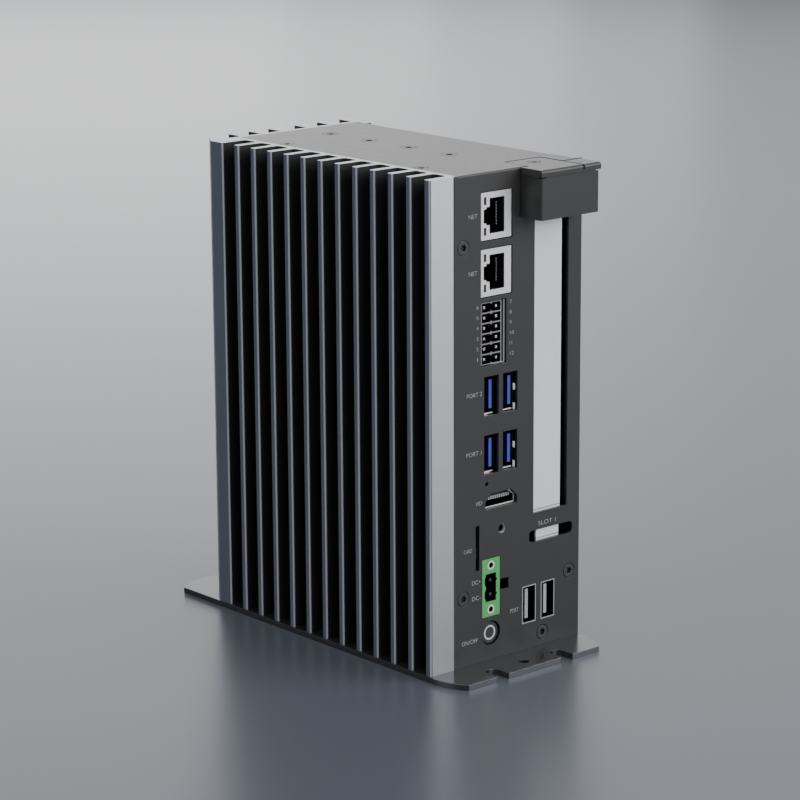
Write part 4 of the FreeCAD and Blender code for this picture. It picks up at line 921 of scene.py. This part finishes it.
@dataclass
class Contacts:
    """The contact strips on the tongues of the serial ports."""

    strip: float = 1.0 * MM
    thick: float = 0.05 * MM
    length: float = 7.5 * MM
    setback: float = 0.8 * MM
    fast_face: float = 2.1 * MM
    fast_front: float = 2.3 * MM
    plain_face: float = 2.2 * MM
    plain_front: float = 1.1 * MM
    steps: tuple[float, ...] = (2.5, 2.0, 2.5)

    def build(self) -> None:
        """Lay the strips on each tongue."""
        finish = GOLD_PLATE.build()
        for number in (1, 2, 3, 4):
            low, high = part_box(f"usb3_shell_{number}")
            face = high.x - self.fast_face
            self.strips(f"fast_port_contacts_{number}", face, low, high, self.fast_front, finish)
        for number in (1, 2):
            low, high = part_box(f"usb2_shell_{number}")
            face = low.x + self.plain_face
            self.strips(f"plain_port_contacts_{number}", face, low, high, self.plain_front, finish)

    def strips(self, name: str, face: float, low: Vector, high: Vector, front: float,
               finish: bpy.types.Material) -> None:
        """Add a port's four strips as one piece.

        Args:
            name: The piece's name.
            face: The X of the tongue's face.
            low: The shell's lowest corner.
            high: Its highest corner.
            front: How far behind the shell's front edge the strips start.
            finish: Their material.
        """
        mesh = bmesh.new()
        level = (low.z + high.z) / 2 - sum(self.steps) * MM / 2
        start = low.y + front + self.setback
        size = Matrix.Diagonal((self.thick, self.length, self.strip, 1))
        for step in (*self.steps, 0.0):
            place = Matrix.Translation((face - self.thick / 2, start + self.length / 2, level))
            made = bmesh.ops.create_cube(mesh, size=1.0, matrix=place @ size)
            ends = [e for e in mesh.edges if e.verts[0] in made["verts"] and self.across(e)]
            bmesh.ops.bevel(mesh, geom=ends, offset=self.thick * 0.4, affect="EDGES", segments=1,
                            profile=0.5, material=-1)
            level += step * MM
        new_piece(name, mesh, finish)

    @staticmethod
    def across(edge: bmesh.types.BMEdge) -> bool:
        """Say whether an edge runs across the strip, so both its ends lie equally deep."""
        return abs(edge.verts[0].co.y - edge.verts[1].co.y) < 1e-7


@dataclass
class Dressing:
    """The finishes of the CAD nodes that show as they are."""

    tongue_left: float = 9.0 * MM
    tongue_right: float = 24.4 * MM
    tongue_back: float = -52.7 * MM
    spring_width: float = 0.75 * MM
    # Heights above the blank's bottom of the painted shadow lines at its bends.
    creases: tuple[float, float] = (14.35 * MM, 4.0 * MM)

    @staticmethod
    def mouth(name: str, node: str, edge: Colour, inside: Colour, reach: float,
              metal: float = 0.0) -> Mouth:
        """Return the finish of a socket's part.

        Args:
            name: The material's name.
            node: The CAD node whose front it starts at.
            edge: The colour of its front edges.
            inside: The colour behind them, which is painted shade.
            reach: How deep the front colour goes, in millimetres.
            metal: How metallic the front edges are.

        Returns:
            The finish.
        """
        return Mouth(name, edge, inside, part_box(node)[0].y, reach * MM, metal)

    def build(self) -> None:
        """Give each node its finish."""
        sink = Anodised("black_anodised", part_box("heat_sink"))
        low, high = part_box("power_button")
        button = Ringed("ringed_button", tone(40, 40, 42), tone(214, 216, 216),
                        ((low.x + high.x) / 2, (low.z + high.z) / 2), 2.3 * MM, 0.6 * MM, low.y + 0.4 * MM)
        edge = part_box("front_cover")[1].x
        left, right, back = self.tongue_left, self.tongue_right, self.tongue_back
        # The cover's paint with painted shadow along the joint with the side cover and round the slot cap's
        # tongue.
        cover = replace(GREY_PAINT, name="paint_with_gap_shadows", seams=(
            (edge - 0.55 * MM, edge + 0.1 * MM, back, 1.0),
            (left, right, back - 0.05 * MM, back + 0.85 * MM),
            (right - 0.05 * MM, right + 0.85 * MM, -1.0, back + 0.85 * MM)))
        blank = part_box("slot_blank")[0].z
        # The blank's zinc with painted shadow lines at its bends.
        zinc = Plated("pale_zinc", tone(250, 250, 250), tone(236, 237, 240), Axis.Z, 0.5, metal=0.35,
                      creases=tuple(blank + rise for rise in self.creases))
        plan = [
            (sink, ["heat_sink"]),
            (cover, ["front_cover", "side_cover", "slot_cap"]),
            (BLACK_COAT, ["base_plate"]),
            (zinc, ["slot_blank"]),
            (self.mouth("jack_shield", "lan_shield_1", tone(250, 250, 251), tone(13, 13, 14), 0.4, 0.4),
             ["lan_shield_1", "lan_shield_2"]),
            (self.mouth("video_rim", "video_shell", tone(240, 241, 243), tone(12, 12, 13), 0.25, 0.4),
             ["video_shell"]),
            (self.mouth("plain_shell", "usb2_shell_1", tone(180, 180, 182), tone(8, 8, 9), 0.1, 0.3),
             ["usb2_shell_1", "usb2_shell_2"]),
            (self.mouth("plain_tongue", "usb2_insulator", tone(176, 177, 178), tone(70, 70, 72), 0.2),
             ["usb2_insulator"]),
            (self.mouth("blue_tongue", "usb3_insulator_upper", tone(86, 100, 200), tone(14, 18, 92), 0.2),
             ["usb3_insulator_upper", "usb3_insulator_lower"]),
            (self.mouth("header_cells", "io_header", tone(136, 136, 136), tone(9, 9, 10), 0.08),
             ["io_header"]),
            (self.mouth("insert_rings", "power_header_inserts", tone(236, 240, 222), tone(10, 10, 10),
                        0.2, 0.3), ["power_header_inserts"]),
            (Mouth("video_tongue", tone(190, 190, 188), tone(18, 18, 19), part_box("video_insulator")[0].y,
                   7.0 * MM, comb=0.5 * MM), ["video_insulator"]),
            (BRIGHT_PLATE, ["io_header_pins", "coin_cell", "board_screws"]),
            (DULL_PIN, ["power_header_pins", "lock_insert"]),
            (DULL_ZINC, ["front_bracket"]),
            (MILLED, ["top_rail", "heat_spreader"]),
            (GOLD_PLATE, ["board_standoffs"]),
            (GREEN_BOARD, ["mainboard", "memory_module", "solid_state_drive", "riser_board"]),
            (BLACK_MOULDING, ["memory_socket", "drive_socket", "coin_cell_holder", "riser_socket",
                              "card_slot", "power_switch"]),
            # The cap shelf takes this near black as painted shade under the gap.
            (DARK_PARTS_AND_SHADE, ["lan_insert_1", "lan_insert_2", "sim_socket", "cap_shelf", "port_board",
                           "port_board_spacers"]),
            (TINTED_WINDOW, ["lan_lights_1", "lan_lights_2"]),
            (CHIP, ["processor"]),
            (SOFT_PAD, ["thermal_pad"]),
            (button, ["power_button"]),
        ]
        for number in range(1, 5):
            node = f"usb3_shell_{number}"
            shell = self.mouth(f"fast_shell_{number}", node, tone(252, 252, 252), tone(14, 14, 15),
                               0.4, 0.3)
            plan.append((replace(shell, limit=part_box(node)[1].x - self.spring_width), [node]))
        header = self.mouth("green_header", "power_header", tone(84, 176, 104), tone(8, 18, 11), 0.08)
        plan.append((header, ["power_header"]))
        PowerLobes().build(header.build())
        for finish, nodes in plan:
            material = finish.build()
            for name in nodes:
                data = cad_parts[name].data
                data.materials.clear()
                data.materials.append(material)
                LOG.info("%s: %s", name, material.name)


# ---------------------------------------------------------------- stage, light and camera

@dataclass(frozen=True)
class Lamp:
    """A soft rectangular lamp that faces its aim, which is the object where nothing else is said."""

    name: str
    place: tuple[float, float, float]
    size: tuple[float, float]
    power: float
    aim: tuple[float, float, float] = (0.0, 0.0, 0.08)

    def hang(self) -> None:
        """Add the lamp to the scene."""
        data = bpy.data.lights.new(self.name, "AREA")
        data.shape = "RECTANGLE"
        data.size, data.size_y = self.size
        data.energy = self.power
        obj = bpy.data.objects.new(self.name, data)
        obj.location = self.place
        obj.rotation_euler = (Vector(self.aim) - Vector(self.place)).to_track_quat("-Z", "Y").to_euler()
        bpy.context.scene.collection.objects.link(obj)


@dataclass
class Studio:
    """A pale floor that sweeps up behind the object, soft light and the camera."""

    eye: tuple[float, float, float] = (-0.6603, -0.7622, 0.3294)
    target: tuple[float, float, float] = (-0.00315, -0.01212, 0.0834)
    roll: float = math.radians(0.32)
    lens: float = 132.7
    floor_colour: Colour = tone(92, 96, 106)
    floor_width: float = 8.0
    lamps: tuple[Lamp, ...] = (
        Lamp("back_lamp", (1.5, 2.05, 1.0), (4.4, 1.7), 31.0),
        Lamp("left_lamp", (-1.7, 0.5, 0.8), (1.2, 1.0), 6.5),
        Lamp("top_lamp", (-0.2, -0.1, 1.5), (1.2, 1.2), 11.0),
        Lamp("front_lamp", (-0.2, -1.8, 0.45), (1.4, 0.8), 9.0),
        Lamp("right_lamp", (1.1, -1.6, 1.0), (1.5, 1.2), 31.0),
    )
    low_ends: tuple[float, ...] = (0.0, 0.2, 0.38, 0.56)
    low_start: float = -1.1
    low_deep: float = 3.1
    low_gap: float = 0.05
    low_height: float = 0.45
    low_level: float = 0.38
    low_strength: float = 2.4
    sky_colour: tuple[float, ...] = (0.78, 0.8, 0.84, 1.0)
    sky_strength: float = 0.3
    floor_near: float = -2.4
    floor_reach: float = 3.4
    floor_bend: float = 0.8
    floor_rise: float = 1.4

    def low_lamps(self) -> list[Lamp]:
        """Return the low lamps behind the object, whose light on the floor falls off to the right."""
        found = []
        for number, end in enumerate(self.low_ends):
            deep = self.low_deep - self.low_gap * number
            middle, width = (self.low_start + end) / 2, end - self.low_start
            place = (0.62 * deep + 0.78 * middle, 0.78 * deep - 0.62 * middle, self.low_level)
            aim = (0.78 * middle, -0.62 * middle, 0.1)
            power = self.low_strength * width * self.low_height
            found.append(Lamp(f"low_lamp_{number + 1}", place, (width, self.low_height), power, aim))
        return found

    def build(self) -> None:
        """Make the floor, the lamps and the camera."""
        self.floor()
        for lamp in (*self.lamps, *self.low_lamps()):
            lamp.hang()
        world = bpy.data.worlds.new("studio")
        world.use_nodes = True
        background = world.node_tree.nodes["Background"]
        background.inputs[0].default_value = self.sky_colour
        background.inputs[1].default_value = self.sky_strength
        bpy.context.scene.world = world
        self.camera()

    def floor(self) -> None:
        """Make the floor as a strip extruded from a line that bends up at the back."""
        mesh = bmesh.new()
        away = Vector((0.66, 0.75, 0.0)).normalized()
        side = Vector((away.y, -away.x, 0.0))
        bend, reach = self.floor_bend, self.floor_reach
        path = [away * self.floor_near, away * reach]
        path += [away * (reach + bend * math.sin(a)) + Vector((0, 0, bend * (1 - math.cos(a))))
                 for a in (math.radians(d) for d in range(5, 91, 5))]
        path.append(path[-1] + Vector((0, 0, self.floor_rise)))
        verts = [mesh.verts.new(p - side * self.floor_width / 2) for p in path]
        edges = [mesh.edges.new(pair) for pair in zip(verts, verts[1:])]
        grown = bmesh.ops.extrude_edge_only(mesh, edges=edges)["geom"]
        moved = [item for item in grown if isinstance(item, bmesh.types.BMVert)]
        bmesh.ops.translate(mesh, vec=side * self.floor_width, verts=moved)
        bmesh.ops.recalc_face_normals(mesh, faces=mesh.faces[:])
        for face in mesh.faces:
            face.smooth = True
        data = bpy.data.meshes.new("studio_floor")
        mesh.to_mesh(data)
        mesh.free()
        g = Graph("studio_floor")
        cloud = g.noise(3.0, 2.0).spread(0.96, 1.04)
        base = g.add("ShaderNodeVectorMath", {"operation": "SCALE"}, {0: self.floor_colour, 3: cloud})
        data.materials.append(g.finish(Base_Color=base, Roughness=0.3, Metallic=0.2))
        obj = bpy.data.objects.new("studio_floor", data)
        bpy.context.scene.collection.objects.link(obj)

    def camera(self) -> None:
        """Make the camera, turned a little about its own axis."""
        ahead = (Vector(self.target) - Vector(self.eye)).normalized()
        right = ahead.cross(Vector((0, 0, 1))).normalized()
        down = ahead.cross(right)
        turned = right * math.cos(self.roll) + down * math.sin(self.roll)
        rise = turned.cross(ahead)
        basis = Matrix((turned, rise, -ahead)).transposed().to_4x4()
        data = bpy.data.cameras.new("camera")
        data.lens = self.lens
        data.sensor_width = 36.0
        data.clip_start = 0.05
        data.clip_end = 20.0
        obj = bpy.data.objects.new("camera", data)
        obj.matrix_world = Matrix.Translation(self.eye) @ basis
        bpy.context.scene.collection.objects.link(obj)
        bpy.context.scene.camera = obj


def main() -> None:
    """Build the pieces in order."""
    logging.basicConfig(level=logging.INFO, format="%(name)s %(message)s")
    builders = (Dressing(), Screws(), Contacts(), NetworkContacts(), LockRing(), Lettering(), Studio())
    for builder in builders:
        builder.build()


if __name__ == "__main__":
    main()
